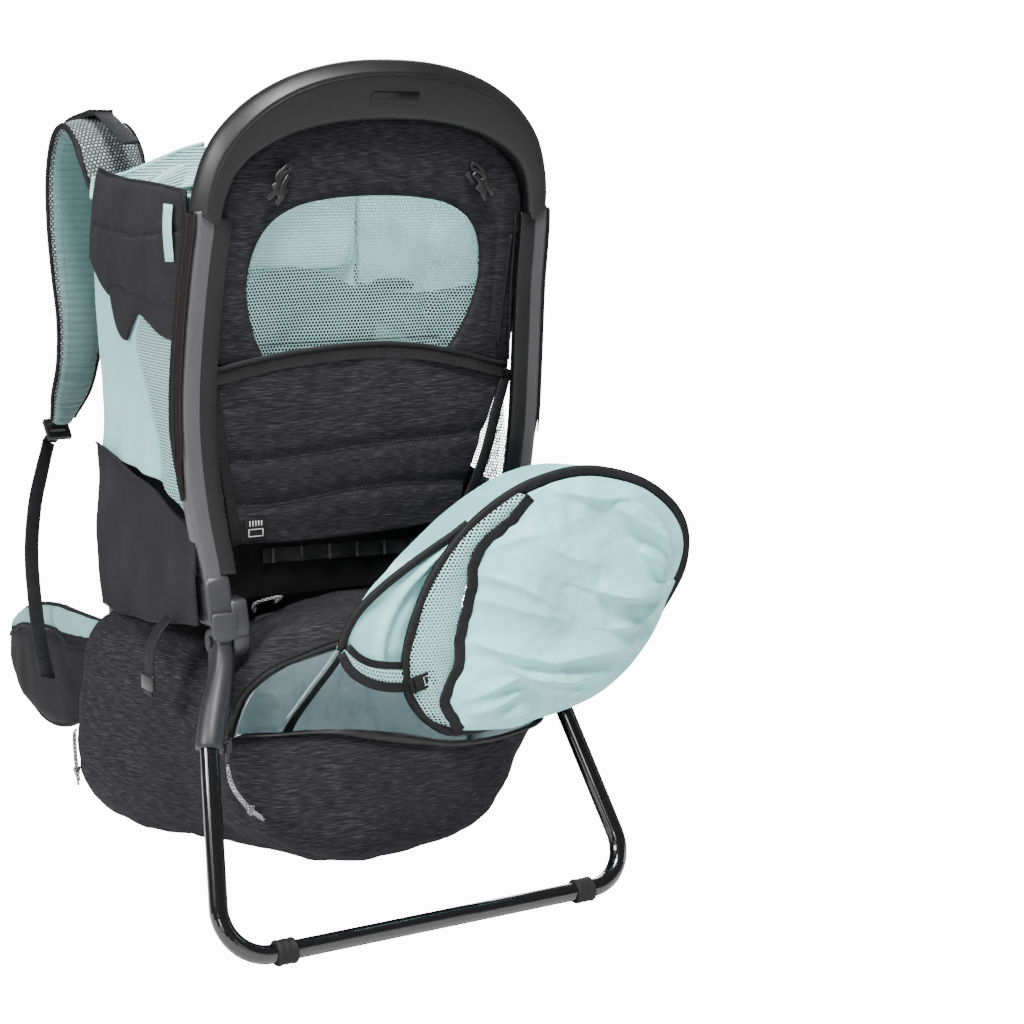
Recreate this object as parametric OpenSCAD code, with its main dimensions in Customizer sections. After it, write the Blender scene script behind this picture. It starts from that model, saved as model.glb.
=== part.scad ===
// Framed child carrier backpack standing on its kickstand, storage bag open
// and the stowed sunshade drawn part way out of it.
// Millimetres. X right, -Y the open kickstand side, +Y the wearer's side, Z up.

/* [Frame] */
// Width of the rear post section (X)
post_w = 22; // [20:1:24]
// Depth of the rear post section (Y)
post_d = 22; // [20:1:24]
// Front-to-back depth of the head arch cover
arch_d = 26; // [24:1:28]
// Diameter of the wearer-side frame tube
loop_d = 16; // [14:1:17]
// Diameter of the side struts
strut_d = 12; // [10:1:13]

/* [Kickstand] */
// Diameter of the kickstand tube
stand_d = 17; // [15:0.5:18]
// Centre-line bend radius of the kickstand corners
stand_bend = 42; // [36:1:46]
// Width of each foot clip along the floor bar
clip_w = 20; // [16:1:24]
// Hinge pin diameter
pin_d = 10; // [8:0.5:12]

/* [Fabric] */
// Thickness of the fabric panels
panel_t = 3; // [2:0.5:4]
// Thickness of the storage bag wall
bag_t = 2.5; // [2:0.5:3]
// Thickness of the sunshade cloth
shade_t = 1.6; // [1.2:0.2:2.4]
// Diameter of the bound sunshade hoop
hoop_d = 7; // [6:0.5:8]

/* [Harness] */
// Widest part of the shoulder straps
strap_w = 66; // [58:1:70]
// Thickness of the shoulder straps
strap_t = 13; // [10:1:15]
// Webbing width
web_w = 20; // [16:1:25]
// Thickness of the hip wings
wing_t = 18; // [14:1:20]

/* [Hidden] */
$fn = 48;
YO = 265;
PIV = [0, -8, 268];
teal = [0.55, 0.78, 0.76];
dark = [0.13, 0.13, 0.14];
grey = [0.28, 0.28, 0.29];
pale = [0.68, 0.85, 0.83];
run = 0.05;

// ---- helpers -------------------------------------------------------------
module at() translate([0, -YO, 0]) children();
module side(s) mirror([s < 0 ? 1 : 0, 0, 0]) children();
function unit(v) = v / norm(v);
function sgn(x) = x < 0 ? -1 : 1;
function pw(x, e) = sgn(x) * pow(abs(x), e);

function vsum(L, i = 0) = i == len(L) - 1 ? L[i] : L[i] + vsum(L, i + 1);
function mean(L) = vsum(L) / len(L);
function turn(F, yes) = yes ? [for (f = F) [f[0], f[2], f[1]]] : F;

// closed solid through rings of equal length
module skin(rings, loop = false) {
  n = len(rings[0]); m = len(rings);
  pts = [for (r = rings) for (p = r) p];
  wall = [for (k = [0 : loop ? m - 1 : m - 2]) for (i = [0 : n - 1])
    let (a = k * n + i, b = k * n + (i + 1) % n, c = ((k + 1) % m) * n + (i + 1) % n, d = ((k + 1) % m) * n + i)
    each [[a, b, c], [a, c, d]]];
  caps = loop ? [] : [for (i = [1 : n - 2]) each [[0, i + 1, i], [(m - 1) * n, (m - 1) * n + i, (m - 1) * n + i + 1]]];
  c0 = mean(rings[0]); c1 = mean(rings[1]);
  nr = vsum([for (i = [0 : n - 1]) cross(rings[0][i] - c0, rings[0][(i + 1) % n] - c0)]);
  polyhedron(pts, turn(concat(wall, caps), (c1 - c0) * nr > 0), convexity = 6);
}

// chamfered rectangle about c, half sizes a along u and b along v
function box_ring(c, u, v, a, b, h) = [for (q = [[a - h, -b], [a, -b + h], [a, b - h], [a - h, b], [-a + h, b], [-a, b - h], [-a, -b + h], [-a + h, -b]])
  c + u * q[0] + v * q[1]];
function oval(c, u, v, a, b, n = 12) = [for (i = [0 : n - 1]) c + u * a * cos(360 * i / n) + v * b * sin(360 * i / n)];

function tan_at(P, i, loop = false) = let (m = len(P))
  unit(P[loop ? (i + 1) % m : min(i + 1, m - 1)] - P[loop ? (i + m - 1) % m : max(i - 1, 0)]);
function cross_u(t, ref) = unit(cross(t, ref));
// round tube along a path, ref is any direction never parallel to it
module tube(P, r, n = 12, ref = [0, 1, 0.013], loop = false)
  skin([for (i = [0 : len(P) - 1]) let (t = tan_at(P, i, loop), u = cross_u(t, ref), v = cross(t, u)) oval(P[i], u, v, r, r, n)], loop);
// flat strap along a path in a Y-Z plane: half widths W along X, half thickness h
module strap(P, W, h, ch = 2, wdir = [1, 0, 0])
  skin([for (i = [0 : len(P) - 1]) let (t = tan_at(P, i), v = unit(cross(t, wdir)), u = unit(cross(v, t)))
    box_ring(P[i], -u, v, is_list(W) ? W[i] : W, h, ch)]);

// sheet from a grid of points G[row][col], thickened by vector N
module sheet(G, N) {
  r = len(G); c = len(G[0]); k = r * c;
  pts = concat([for (row = G) for (p = row) p], [for (row = G) for (p = row) p + N]);
  top = [for (i = [0 : r - 2]) for (j = [0 : c - 2])
    let (a = i * c + j, b = a + 1, d = a + c, e = d + 1) each [[a, b, e], [a, e, d]]];
  bot = [for (f = top) [f[0] + k, f[2] + k, f[1] + k]];
  rim = concat(
    [for (j = [0 : c - 2]) each [[j, j + k, j + 1 + k], [j, j + 1 + k, j + 1]]],
    [for (j = [0 : c - 2]) let (a = (r - 1) * c + j) each [[a, a + 1, a + 1 + k], [a, a + 1 + k, a + k]]],
    [for (i = [0 : r - 2]) let (a = i * c, b = a + c) each [[a, b, b + k], [a, b + k, a + k]]],
    [for (i = [0 : r - 2]) let (a = i * c + c - 1, b = a + c) each [[a, a + k, b + k], [a, b + k, b]]]);
  polyhedron(pts, turn(concat(top, bot, rim), cross(G[0][1] - G[0][0], G[1][0] - G[0][0]) * N < 0), convexity = 6);
}

// ---- rear frame ----------------------------------------------------------
POST = [[172.5, -32, 649.8], [174.5, -26, 616], [176, -19, 580], [178, -13, 535], [179, -8.5, 490], [177.5, -6.5, 446],
  [171, -5, 390], [161, -3.5, 340], [157, -3, 318]];
module post(s) at() side(s) color(grey)
  skin([for (p = POST) box_ring(p, [1, 0, 0], [0, 1, 0], post_w / 2, post_d / 2, 4)]);
module post_left() post(-1);
module post_right() post(1);

// the arch cover is a band between an inner and an outer outline, leaning back to -Y
ARI = [[160.3, 650], [159.5, 664], [156, 679], [148, 692], [136, 704], [120, 715], [102, 723], [82, 729], [62, 732.5], [40, 735.5], [20, 736.7], [0, 737]];
ARO = [[184.7, 650], [184.2, 668], [181.5, 686], [177, 704], [169, 722], [155, 740], [134, 757], [107, 772], [80, 781.5], [52, 787.5], [26, 790.3], [0, 791]];
function ar_y(z) = -32.5 - 0.22 * (z - 650);
function ar_ring(i, s) = let (a = ARI[i], b = ARO[i], u = unit([b[0] - a[0], 0, b[1] - a[1]]), w = norm(b - a) / 2, c = (a + b) / 2)
  box_ring([s * c[0], ar_y(c[1]), c[1]], [s * u[0], 0, u[2]], [0, 1, 0], w, arch_d / 2, min(8, w * 0.42));
module head_arch() at() color(grey) skin(concat([for (i = [0 : 11]) ar_ring(i, 1)], [for (i = [10 : -1 : 0]) ar_ring(i, -1)]));

// fabric trim wrapped on the outer flank of each post
module post_trim(s) side(s)
  skin([for (p = [for (i = [0 : 6]) POST[i]]) box_ring(p + [post_w / 2 + 1.8, 3, 0], [1, 0, 0], [0, 1, 0], 1.5, 7, 0.6)]);
module post_trims() at() color(dark) { post_trim(-1); post_trim(1); }
// clamping strip on the inner flank
module inner_strip(s) side(s)
  skin([for (p = [for (i = [0 : 5]) POST[i]]) box_ring(p + [-post_w / 2 - 5.3, -4, 0], [1, 0, 0], [0, 1, 0], 5, 2, 0.8)]);
module inner_strips() at() color(dark) { inner_strip(-1); inner_strip(1); }
module strip_rivets() at() color([0.5, 0.5, 0.5]) for (s = [-1, 1]) side(s) for (z = [632, 645])
  translate([172.5 + 2 * (649.8 - z) / 33.8 - post_w / 2 - 5.3, -32 + 6 * (649.8 - z) / 33.8 - 6.15, z]) rotate([100.06, 0, 0]) cylinder(h = 1.2, r = 2.2);

// ---- hinge of the kickstand ---------------------------------------------
module housing(s) at() side(s) color(grey) difference() {
  union() {
    skin([box_ring([157, -3, 317.9], [1, 0, 0], [0, 1, 0], 12, 12, 3), box_ring([156, -4, 301], [1, 0, 0], [0, 1, 0], 12.6, 12.6, 3), box_ring([155, -5, 287], [1, 0, 0], [0, 1, 0], 12, 12, 3)]);
    translate([130, PIV[1], PIV[2]]) rotate([0, 90, 0]) cylinder(h = 17, r = 17);
    translate([130, -22, 268]) cube([17, 30, 34]);
    translate([137, 4, 293]) cube([18, 18.2, 19]);
  }
  translate([120, PIV[1], PIV[2]]) rotate([0, 90, 0]) cylinder(h = 60, r = pin_d / 2);
}
module hinge_housing_left() housing(-1);
module hinge_housing_right() housing(1);
module hinge_pins() at() color([0.6, 0.6, 0.6]) for (s = [-1, 1]) side(s)
  translate([129, PIV[1], PIV[2]]) rotate([0, 90, 0]) {
    cylinder(h = 36.5, r = pin_d / 2);
    translate([0, 0, -3]) cylinder(h = 3, r = pin_d / 2 + 2);
  }

// ---- kickstand -----------------------------------------------------------
FZ = 3 + stand_d / 2;
lean = atan(0.488);
splay = atan(0.1717);
bar_x = 221.5;
tl = stand_bend * tan((90 + splay) / 2);
module stand_plane() translate([0, -137.4, FZ]) rotate([-lean, 0, 0]) children();
module stand_tube() at() color([0.05, 0.05, 0.05]) stand_plane() {
  translate([-(bar_x - tl) - 0.1, 0, 0]) rotate([0, 90, 0]) cylinder(h = 2 * (bar_x - tl) + 0.2, r = stand_d / 2);
  for (s = [-1, 1]) side(s) {
    translate([bar_x - tl, 0, stand_bend]) rotate([90, 0, 0]) rotate([0, 0, -90]) rotate_extrude(angle = 90 + splay) translate([stand_bend, 0]) circle(r = stand_d / 2);
    translate([bar_x, 0, 0]) rotate([0, -splay, 0]) translate([0, 0, tl - 0.1]) cylinder(h = 212 - tl, r = stand_d / 2);
  }
}
SOCK = [[155.3, -8, 268], [156, -12, 255], [161, -20, 240], [170, -31, 221], [180, -43, 202], [186, -50.5, 188], [188, -53.5, 182]];
module socket(s) at() side(s) color(grey) difference() {
  union() {
    translate([147.6, PIV[1], PIV[2]]) rotate([0, 90, 0]) cylinder(h = 15.4, r = 14);
    skin([for (i = [0 : len(SOCK) - 1]) let (t = tan_at(SOCK, i), u = unit([1, 0, 0] - t * t[0]), v = cross(t, u), h = [7.4, 7.8, 9, 10.6, 11.4, 11.4, 11][i], w = [13, 13, 13, 12.5, 12, 11.5, 11][i])
      oval(SOCK[i], u, v, h, w, 20)]);
  }
  translate([140, PIV[1], PIV[2]]) rotate([0, 90, 0]) cylinder(h = 60, r = pin_d / 2 + run);
}
module stand_socket_left() socket(-1);
module stand_socket_right() socket(1);
module stand_feet() at() color(dark) for (s = [-1, 1]) side(s) difference() {
  union() {
    translate([150, -137.4 - 11, 0]) cube([clip_w, 22, FZ]);
    translate([150, -137.4, FZ]) rotate([0, 90, 0]) cylinder(h = clip_w, r = 11.5);
  }
  translate([140, -137.4, FZ]) rotate([0, 90, 0]) cylinder(h = 60, r = stand_d / 2 + run);
  translate([140, -160, -20]) cube([60, 60, 20]);
}

// ---- wearer-side frame ---------------------------------------------------
LOOP = [[134, 252, 636], [138, 252, 560], [140, 252, 420], [140, 252, 240], [138, 254, 110], [132, 257, 72], [116, 260, 50], [92, 262, 42], [0, 262, 40]];
module front_frame() at() color(grey) tube(concat(LOOP, [for (i = [7 : -1 : 0]) [-LOOP[i][0], LOOP[i][1], LOOP[i][2]]]), loop_d / 2, 16, [0.02, 1, 0.013]);
module side_struts() at() color(grey) for (s = [-1, 1]) side(s)
  tube([[146, 22.4, 302], [146, 60, 304], [146, 120, 306], [144, 190, 306], [141.5, 243.5, 306]], strut_d / 2, 14, [0.01, 0.02, 1]);
module base_foot() at() color(dark) difference() {
  translate([-45, 249, 0]) cube([90, 28, 36]);
  translate([-70, 262, 40]) rotate([0, 90, 0]) cylinder(h = 140, r = loop_d / 2 + 1.2);
}

// ---- rear panel ----------------------------------------------------------
// plane leaning back: local x right, local y up the panel
module lean_plane() translate([0, 1, 516.5]) rotate([13, 0, 0]) rotate([90, 0, 0]) children();
function mir(P) = concat(P, [for (i = [len(P) - 1 : -1 : 0]) [-P[i][0], P[i][1]]]);
WIN = [[98, 2], [110, 22], [121, 52], [125, 82], [119, 112], [104, 136], [78, 150], [45, 156], [15, 158]];
UP = [[162, 4], [162, 60], [160, 110], [158, 137], [152, 166], [144, 179], [132, 191], [116, 202], [99, 209.5], [80, 215.5], [60, 219.5], [38, 222.5], [8, 224.5]];
module rear_panel_upper() at() color(dark) lean_plane() linear_extrude(height = panel_t) difference() {
  polygon(mir(UP));
  polygon(concat([[0, 14], [40, 13], [72, 9]], WIN, [for (i = [8 : -1 : 0]) [-WIN[i][0], WIN[i][1]]], [[-72, 9], [-40, 13]]));
}
module window_mesh() at() color(teal) lean_plane() translate([0, 0, -1.6]) linear_extrude(height = 1.2)
  polygon([for (p = concat([[0, 14], [40, 13], [72, 9]], WIN, [for (i = [8 : -1 : 0]) [-WIN[i][0], WIN[i][1]]], [[-72, 9], [-40, 13]])) [p[0] * 1.04, (p[1] - 80) * 1.04 + 80]]);
module panel_zip() at() color(dark)
  skin([for (i = [0 : 16]) let (x = -148 + 18.5 * i, z = 513 + 6 * cos(x * 0.55)) box_ring([x, -6.2 - 0.5 * cos(x * 0.6), z], [0, 0, 1], [0, 1, 0], 5, 1.8, 0.6)]);
module rear_panel_lower() at() color(dark)
  sheet([for (k = [0 : 6]) let (z = 505 - 24 * k, w = 148 - 5.4 * k) [for (j = [0 : 10]) let (x = w * (j / 5 - 1))
    [x, 3 - 5 * cos(x / w * 80) * (0.5 + 0.5 * sin(k * 60)) + 1.2 * k, z]]], [0, 6, 0]);
module binding(s) side(s) skin([for (k = [0 : 6]) let (z = 505 - 24 * k, w = 151.5 - 5.4 * k) box_ring([w, 4 + 1.2 * k, z], [1, 0, 0], [0, 1, 0], 3, 4, 1)]);
module panel_bindings() at() color([0.06, 0.06, 0.06]) { binding(-1); binding(1); }
module gusset(s) side(s) sheet([for (k = [0 : 4]) let (z = 470 - 25 * k) [for (j = [0 : 1])
  [j == 0 ? 158.8 - 5.63 * (505 - z) / 25 + 2 * 0 : 158.8 + 2.5 - 5.63 * (505 - z) / 25 + 3.2 * k, 24, z]]], [0, 1.5, 0]);
module gusset_meshes() at() color(teal) { gusset(-1); gusset(1); }
module clip(s) side(s) translate([103.7, -47.6, 679]) rotate([13, 0, 0]) rotate([0, -22, 0]) {
  translate([-8, 0.6, -11]) cube([16, 5.4, 12]);
  translate([-11, 1.2, 1.4]) cube([22, 4.2, 3]);
  for (q = [-1, 1]) translate([q * 7 - 1.6, 1.2, 4.4]) cube([3.2, 4.2, 12]);
  translate([-1.6, 1.2, 4.4]) cube([3.2, 4.2, 9]);
  translate([-8, 1.2, 0]) cube([16, 4.2, 2]);
}
module canopy_clips() at() color([0.07, 0.07, 0.07]) { clip(-1); clip(1); }
module care_label() at() color([0.08, 0.08, 0.08]) translate([-119, 1.8, 356]) cube([20, 1.2, 18]);

// ---- cockpit sides -------------------------------------------------------
function side_x(y) = 168 - 16 * (y - 12) / 236;
module wing_panel(s) at() side(s) color(dark)
  sheet([for (k = [0 : 5]) let (z = 690 - 25 * k) [for (j = [0 : 8]) let (y = 6 + (250 - 6 - 10 * abs(k - 2.5) / 2.5) * j / 8)
    [side_x(y) + 5 + 5 * sin(180 * j / 8) * (1 - k / 8), y + (k < 1 ? 4 : 0) * j / 8, z - 6 * j / 8 + (k == 0 ? -8 * sin(180 * j / 8) : 0)]]], [panel_t + 1, 0, 0]);
module cockpit_wing_left() wing_panel(-1);
module cockpit_wing_right() wing_panel(1);
module flank(y0, y1, z0, z1, out, t, bulge = 0)
  sheet([for (k = [0 : 4]) let (f = k / 4) [for (j = [0 : 6]) let (y = (y0[0] + (y0[1] - y0[0]) * f) + ((y1[0] + (y1[1] - y1[0]) * f) - (y0[0] + (y0[1] - y0[0]) * f)) * j / 6)
    [side_x(y) + out + bulge * sin(180 * j / 6) * sin(180 * f), y, z1 + (z0 - z1) * f]]], [t, 0, 0]);
module side_stretch_panels() at() color(teal) for (s = [-1, 1]) side(s) flank([130, 88], [245, 243], 390, 556, 0, 2.2, 4);
module side_mesh_panels() at() color([0.6, 0.8, 0.78]) for (s = [-1, 1]) side(s) flank([22, 22], [129, 87], 392, 556, 0, 1.6, 3);
module side_lower_panels() at() color(dark) for (s = [-1, 1]) side(s) flank([24, 30], [244, 240], 297, 389, -0.5, 2.2, 1);
module wing_tags() at() color(teal) for (s = [-1, 1]) side(s)
  sheet([for (k = [0 : 2]) [for (j = [0 : 1]) let (y = 10 + 18 * j) [side_x(y) + 12.4 + 0.05 * (y - 10), y, 662 - 26 * k]]], [1.2, 0, 0]);
module drool_pad() at() color(teal)
  sheet([for (k = [0 : 4]) [for (j = [0 : 12]) let (x = -126 + 21 * j) [x, 226 + 7 * cos(x * 0.7) + 2 * k - 4, 716 - 22 * pow(abs(x) / 126, 2) - 26 * k]]], [0, 14, 0]);

// ---- wearer's back -------------------------------------------------------
module back_pad() at() color(dark)
  sheet([for (k = [0 : 6]) let (z = 628 - 58 * k) [for (j = [0 : 8]) let (x = -126 + 31.5 * j) [x, 263 + (abs(x) > 40 ? 3 : 0), z]]], [0, 11, 0]);
module lumbar_pad() at() color(dark) {
  sheet([for (k = [0 : 4]) let (z = 256 - 32 * k) [for (j = [0 : 8]) let (x = -110 + 27.5 * j) [x, 278 + 0 * k, z]]], [0, 12 + 8, 0]);
  for (s = [-1, 1]) side(s) {
    translate([90, 272, 150]) cube([22, 6, 84]);
    sheet([[[149.5, 252, 170], [183, 294, 166]], [[149.5, 252, 138], [183, 294, 148]]], [-2, 2.4, 0]);
  }
}

// ---- storage bag ---------------------------------------------------------
// stations: y, half width, low z, high z, roundness
BAG = [[238, 160, 50, 240, 3.2], [236, 182, 36, 264, 3.4], [222, 197, 27, 280, 3.4], [180, 197, 27, 287, 3.2], [120, 181, 33, 288, 3.0],
  [70, 166, 36, 290, 2.7], [35, 157, 38, 292, 2.6], [5, 152, 40, 292, 2.6]];
BN = 32;
function bag_ring(st, d) = let (a = st[1] - d, lo = st[2] + d, hi = st[3] - d, zc = (lo + hi) / 2, h = (hi - lo) / 2)
  [for (i = [0 : BN - 1]) let (t = 360 * i / BN) [a * pw(cos(t), 2 / st[4]), st[0], zc + h * pw(sin(t), 2 / st[4])]];
// the open mouth: upper lip right to left, lower lip left to right
MOUTH = [[158, -56, 170], [159, -54, 192], [155, -52, 210], [147, -50, 227], [134, -49, 241], [115, -49, 252], [91, -50, 260], [62, -51, 265],
  [31, -52, 267], [0, -51, 266], [-30, -50, 263], [-58, -47, 259], [-84, -44, 253], [-108, -40, 246], [-129, -35, 234], [-144, -27, 215],
  [-150, -13, 178], [-146, -24, 181], [-136, -36, 183], [-122, -47, 184], [-104, -56, 185], [-84, -63, 185], [-62, -69, 183], [-38, -73, 178],
  [-12, -76, 172], [16, -79, 166], [44, -82, 160], [72, -83, 158], [98, -82, 158], [120, -79, 160], [138, -74, 162], [150, -67, 165]];
function lip(d) = [for (p = MOUTH) let (v = unit([-p[0], 0, 215 - p[2]])) p + v * d];
function belly(d) = [for (i = [0 : BN - 1]) let (t = 360 * i / BN, c = cos(t), s = sin(t), up = s >= 0)
  [(155 - d) * pw(c, 0.85), up ? -8 - 24 * s : -8 - (62 - d) * pow(-s, 0.8) - 18 * max(c, 0) * -s, (up ? 172 + 114 * pow(s, 0.7) - d * s : 172 - (102 - d) * pow(-s, 0.85))]];
function sump(d) = [for (i = [0 : BN - 1]) let (t = 360 * i / BN, c = cos(t), s = sin(t), up = s >= 0)
  [(153 - d) * pw(c, 0.83), up ? -2 - 8 * s : -2 - (34 - d) * pow(-s, 0.8), (up ? 170 + 121 * pow(s, 0.75) - d * s : 170 - (124 - d) * pow(-s, 0.8))]];
module pouch(d0, d1) {
  out = concat([for (st = BAG) bag_ring(st, d0)], [sump(d0), belly(d0), lip(d0)]);
  inn = concat([lip(d1), belly(d1), sump(d1)], [for (i = [7 : -1 : 1]) bag_ring(i == 1 ? [BAG[1][0] - d1, BAG[1][1], BAG[1][2], BAG[1][3], BAG[1][4]] : BAG[i], d1)]);
  skin(concat(out, inn));
}
module bag_shell() at() color(dark) pouch(0, bag_t);
module bag_lining() at() color(teal) pouch_lining();
module pouch_lining() {
  d0 = bag_t + 2.2; d1 = d0 + 1.6;
  function st1(e) = [BAG[1][0] - e, BAG[1][1], BAG[1][2], BAG[1][3], BAG[1][4]];
  S = [for (i = [2 : 7]) BAG[i]];
  skin(concat([bag_ring(st1(d0 + 1), d0)], [for (st = S) bag_ring(st, d0)], [sump(d0)], [sump(d1)], [for (i = [5 : -1 : 0]) bag_ring(S[i], d1)], [bag_ring(st1(d1 + 2), d1)]));
}
module bag_zip() at() color([0.05, 0.05, 0.05]) tube([for (i = [0 : BN - 1]) let (s = sin(360 * i / BN), p = lip(bag_t / 2)[i])
  p + (s >= 0 ? [0, -4.4, 0] : [0, -4.4 * pow(1 + s, 0.5), 4.4 * pow(-s, 0.5)])], 2.4, 8, [0, 1, 0.013], true);
module zip_slider() at() color([0.1, 0.1, 0.1]) translate([-158, -27, 172]) { translate([-5, 0, -5]) cube([10, 4, 12]); translate([-1.5, -2, -13]) cube([3, 2, 17]); }
module lid_cord_loop() at() color([0.8, 0.8, 0.8])
  tube([[-98, 30, 283], [-103, 24, 289], [-103, 16, 294], [-96, 11, 297], [-86, 11, 298], [-78, 16, 297], [-75, 23, 294], [-77, 29, 289.5]], 1.5, 8, [0.05, 0.1, 1]);
module pull_cord_rear() at() color([0.7, 0.7, 0.7])
  tube([[-158, -28, 156.8], [-160, -32, 150], [-160, -36, 142], [-158, -41, 134], [-154, -46, 126], [-149, -50, 119], [-143, -54, 113], [-137, -57, 108]], 2, 8);
module pull_cord_side() at() color([0.7, 0.7, 0.7])
  tube([[-197.1, 226, 142], [-199.5, 227, 140], [-200.5, 227.5, 134], [-200.5, 227, 125], [-200.3, 226.5, 115], [-200, 225.5, 105], [-199.5, 224, 95], [-199, 222, 86]], 2, 8);

// ---- child seat and harness ---------------------------------------------
module child_seat() at() color(dark) {
  sheet([for (k = [0 : 5]) let (y = 39 + 25 * k) [for (j = [0 : 6]) let (x = -80 + 26.667 * j) [x, y, 352 + 14 * pow(x / 80, 2) - 6 * sin(36 * k)]]], [0, 0, -18]);
  translate([-60, 28, 340]) cube([120, 11, 150]);
}
module harness_straps() at() color(dark) {
  for (s = [-1, 1]) side(s) strap([[48, -7.3, 577], [48, 10, 585], [47, 30, 585], [44, 50, 570], [38, 64, 540], [27, 74, 506], [16, 78, 486], [16, 78, 466.6]], 14, 3.5, 1.5);
  strap([[0, 81, 437.6], [0, 82, 424], [0, 88, 405], [0, 100, 386]], 13, 2.5, 1);
}
module harness_buckle() at() color(grey) difference() {
  translate([-31, 74, 438]) cube([62, 13, 28]);
  translate([0, 80, 452]) rotate([-90, 0, 0]) cylinder(h = 8, r = 7.05);
}
module buckle_button() at() color([0.5, 0.1, 0.1]) translate([0, 83.2, 452]) rotate([-90, 0, 0]) cylinder(h = 5.2, r = 7);

// ---- shoulder harness ----------------------------------------------------
module yoke_plate() at() color(dark) translate([-92, 279, 505]) cube([184, 8, 90]);
STR = [[80, 286, 603.5], [90, 286, 622], [102, 286.5, 652], [113, 289, 688], [117, 301, 718], [118, 328, 733], [118, 356, 720], [117, 374, 684],
  [116, 380, 636], [116, 378, 585], [116, 379, 530], [115, 400, 475], [114, 442, 424]];
STW = [20, 26, 31, 33, 33, 33, 33, 32, 29, 25, 22, 20, 12];
module shoulder(s) at() side(s) color([0.3, 0.34, 0.34]) strap(STR, [for (w = STW) w * strap_w / 66], strap_t / 2, 3);
module shoulder_strap_left() shoulder(-1);
module shoulder_strap_right() shoulder(1);
module ladder_locks() at() color([0.06, 0.06, 0.06]) for (s = [-1, 1]) side(s) {
  translate([114, 455, 412]) rotate([52, 0, 0]) difference() { translate([-13, -11, -3]) cube([26, 24, 6]); for (q = [-4, 5]) translate([-10, q, -4]) cube([20, 3.4, 8]); }
  translate([117.5, 322, 744.5]) rotate([-8, 0, 0]) difference() { translate([-13, -12, -3]) cube([26, 24, 6]); for (q = [-5, 3]) translate([-10, q, -4]) cube([20, 3.4, 8]); }
}
module lower_webbings() at() color([0.07, 0.07, 0.07]) for (s = [-1, 1]) side(s)
  strap([[118, 470, 398], [130, 460, 372], [150, 436, 335], [168, 404, 290], [181, 366, 245], [189, 334, 205], [193, 308, 178]], 9, 1.2, 0.4, [0.55, 0.6, 0]);
module lifter_webbings() at() color([0.07, 0.07, 0.07]) for (s = [-1, 1]) side(s) {
  strap([[112, 252, 716], [114, 270, 726], [115.5, 288, 736], [117, 308, 745.5]], web_w / 2, 1.2, 0.4);
  strap([[118, 338, 745.5], [120, 372, 738], [122, 398, 718], [123, 408, 690], [123, 410, 655], [123, 410, 620]], web_w / 2, 1.2, 0.4);
}

// ---- hip belt ------------------------------------------------------------
HW = [[128, 286, 190], [137, 300, 187], [145, 322, 182], [150, 352, 176], [152, 395, 172], [150, 440, 170], [145, 480, 169], [138, 512, 169], [131, 532, 169]];
HH = [42, 54, 64, 68, 67, 62, 54, 42, 24];
module hip_wing(s) at() side(s) color(dark) union() {
  skin([for (i = [0 : 8]) let (t = tan_at([for (p = HW) [p[0], p[1], 0]], i), u = cross(t, [0, 0, 1])) box_ring(HW[i], u, [0, 0, 1], wing_t / 2, HH[i], 6)]);
  translate([128, 286, 149]) cylinder(h = 82, r = wing_t / 2 + 0.3);
}
module hip_wing_left() hip_wing(-1);
module hip_wing_right() hip_wing(1);
module hip_strap(s) at() side(s) color([0.07, 0.07, 0.07]) {
  strap([[130.3, 533.8, 169], [122, 548, 169], [111, 559, 168], [99, 567, 167]], 12.5, 1.4, 0.4, [0, 0, 1]);
  translate([97, 566, 167]) rotate([0, 0, 28]) translate([-34, -4, -16]) difference() { cube([36, 9, 32]); translate([-1, 2.4, 5]) cube([26, 4.2, 22]); }
}
module hip_strap_left() hip_strap(-1);
module hip_strap_right() hip_strap(1);

// ---- sunshade ------------------------------------------------------------
// hoop outline in x and z on a slanting plane; the cloth bulges to -Y
HP = [[50, 172], [24, 186], [7, 209], [3, 238], [10, 274], [27, 314], [50, 347], [77, 373], [110, 394], [143, 406], [176, 411], [208, 407],
  [240, 396], [266, 378], [281, 358], [286, 335], [281, 308], [264, 279], [240, 248], [214, 220], [184, 199], [150, 186], [103, 176]];
// sewn edge of the cloth inside the hoop; a mesh band fills the gap on the left
CB = [[62, 181], [48, 194], [42, 214], [53, 238], [60, 270], [72, 308], [84, 344], [104, 364], [124, 384], [146, 396], [176, 401], [205, 397],
  [234, 387], [258, 371], [271, 354], [276, 334], [271, 311], [255, 285], [233, 256], [208, 230], [180, 209], [148, 196], [108, 186]];
HC = [146, 292];
function sq(p, o = 0) = [p[0], -85 - 0.18 * (p[0] - 50) - o, p[1]];
function bulge(f) = 26 * (1 - f * f);
module shade_cloth() at() color(pale) {
  F = [0.06, 0.25, 0.45, 0.65, 0.84, 1];
  skin(concat([for (f = F) [for (p = CB) sq(HC + (p - HC) * f, bulge(f) + shade_t)]], [for (k = [5 : -1 : 0]) [for (p = CB) sq(HC + (p - HC) * F[k], bulge(F[k]))]]));
}
module shade_hoop() at() color([0.04, 0.04, 0.04]) tube([for (p = HP) sq(p)], hoop_d / 2, 8, [0, 1, 0.013], true);
module shade_mesh() at() color([0.6, 0.8, 0.78])
  sheet([for (i = [0 : 8]) let (v = unit(CB[i] - HP[i])) [sq(HP[i] + v * 4.4, 1), sq(CB[i] - v * 1.4, 1)]], [0, -1.2, 0]);
RH = [[-60, -66, 258], [-54, -67, 276], [-42, -69, 294], [-22, -71, 311], [4, -73, 328], [30, -75, 343], [54, -77, 356], [69, -79, 366]];
RM = [[0, -68, 206], [-5, -69, 228], [-3, -70, 252], [4, -72, 276], [14, -74, 297], [27, -76, 316], [41, -79, 333], [58, -82, 348]];
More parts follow.
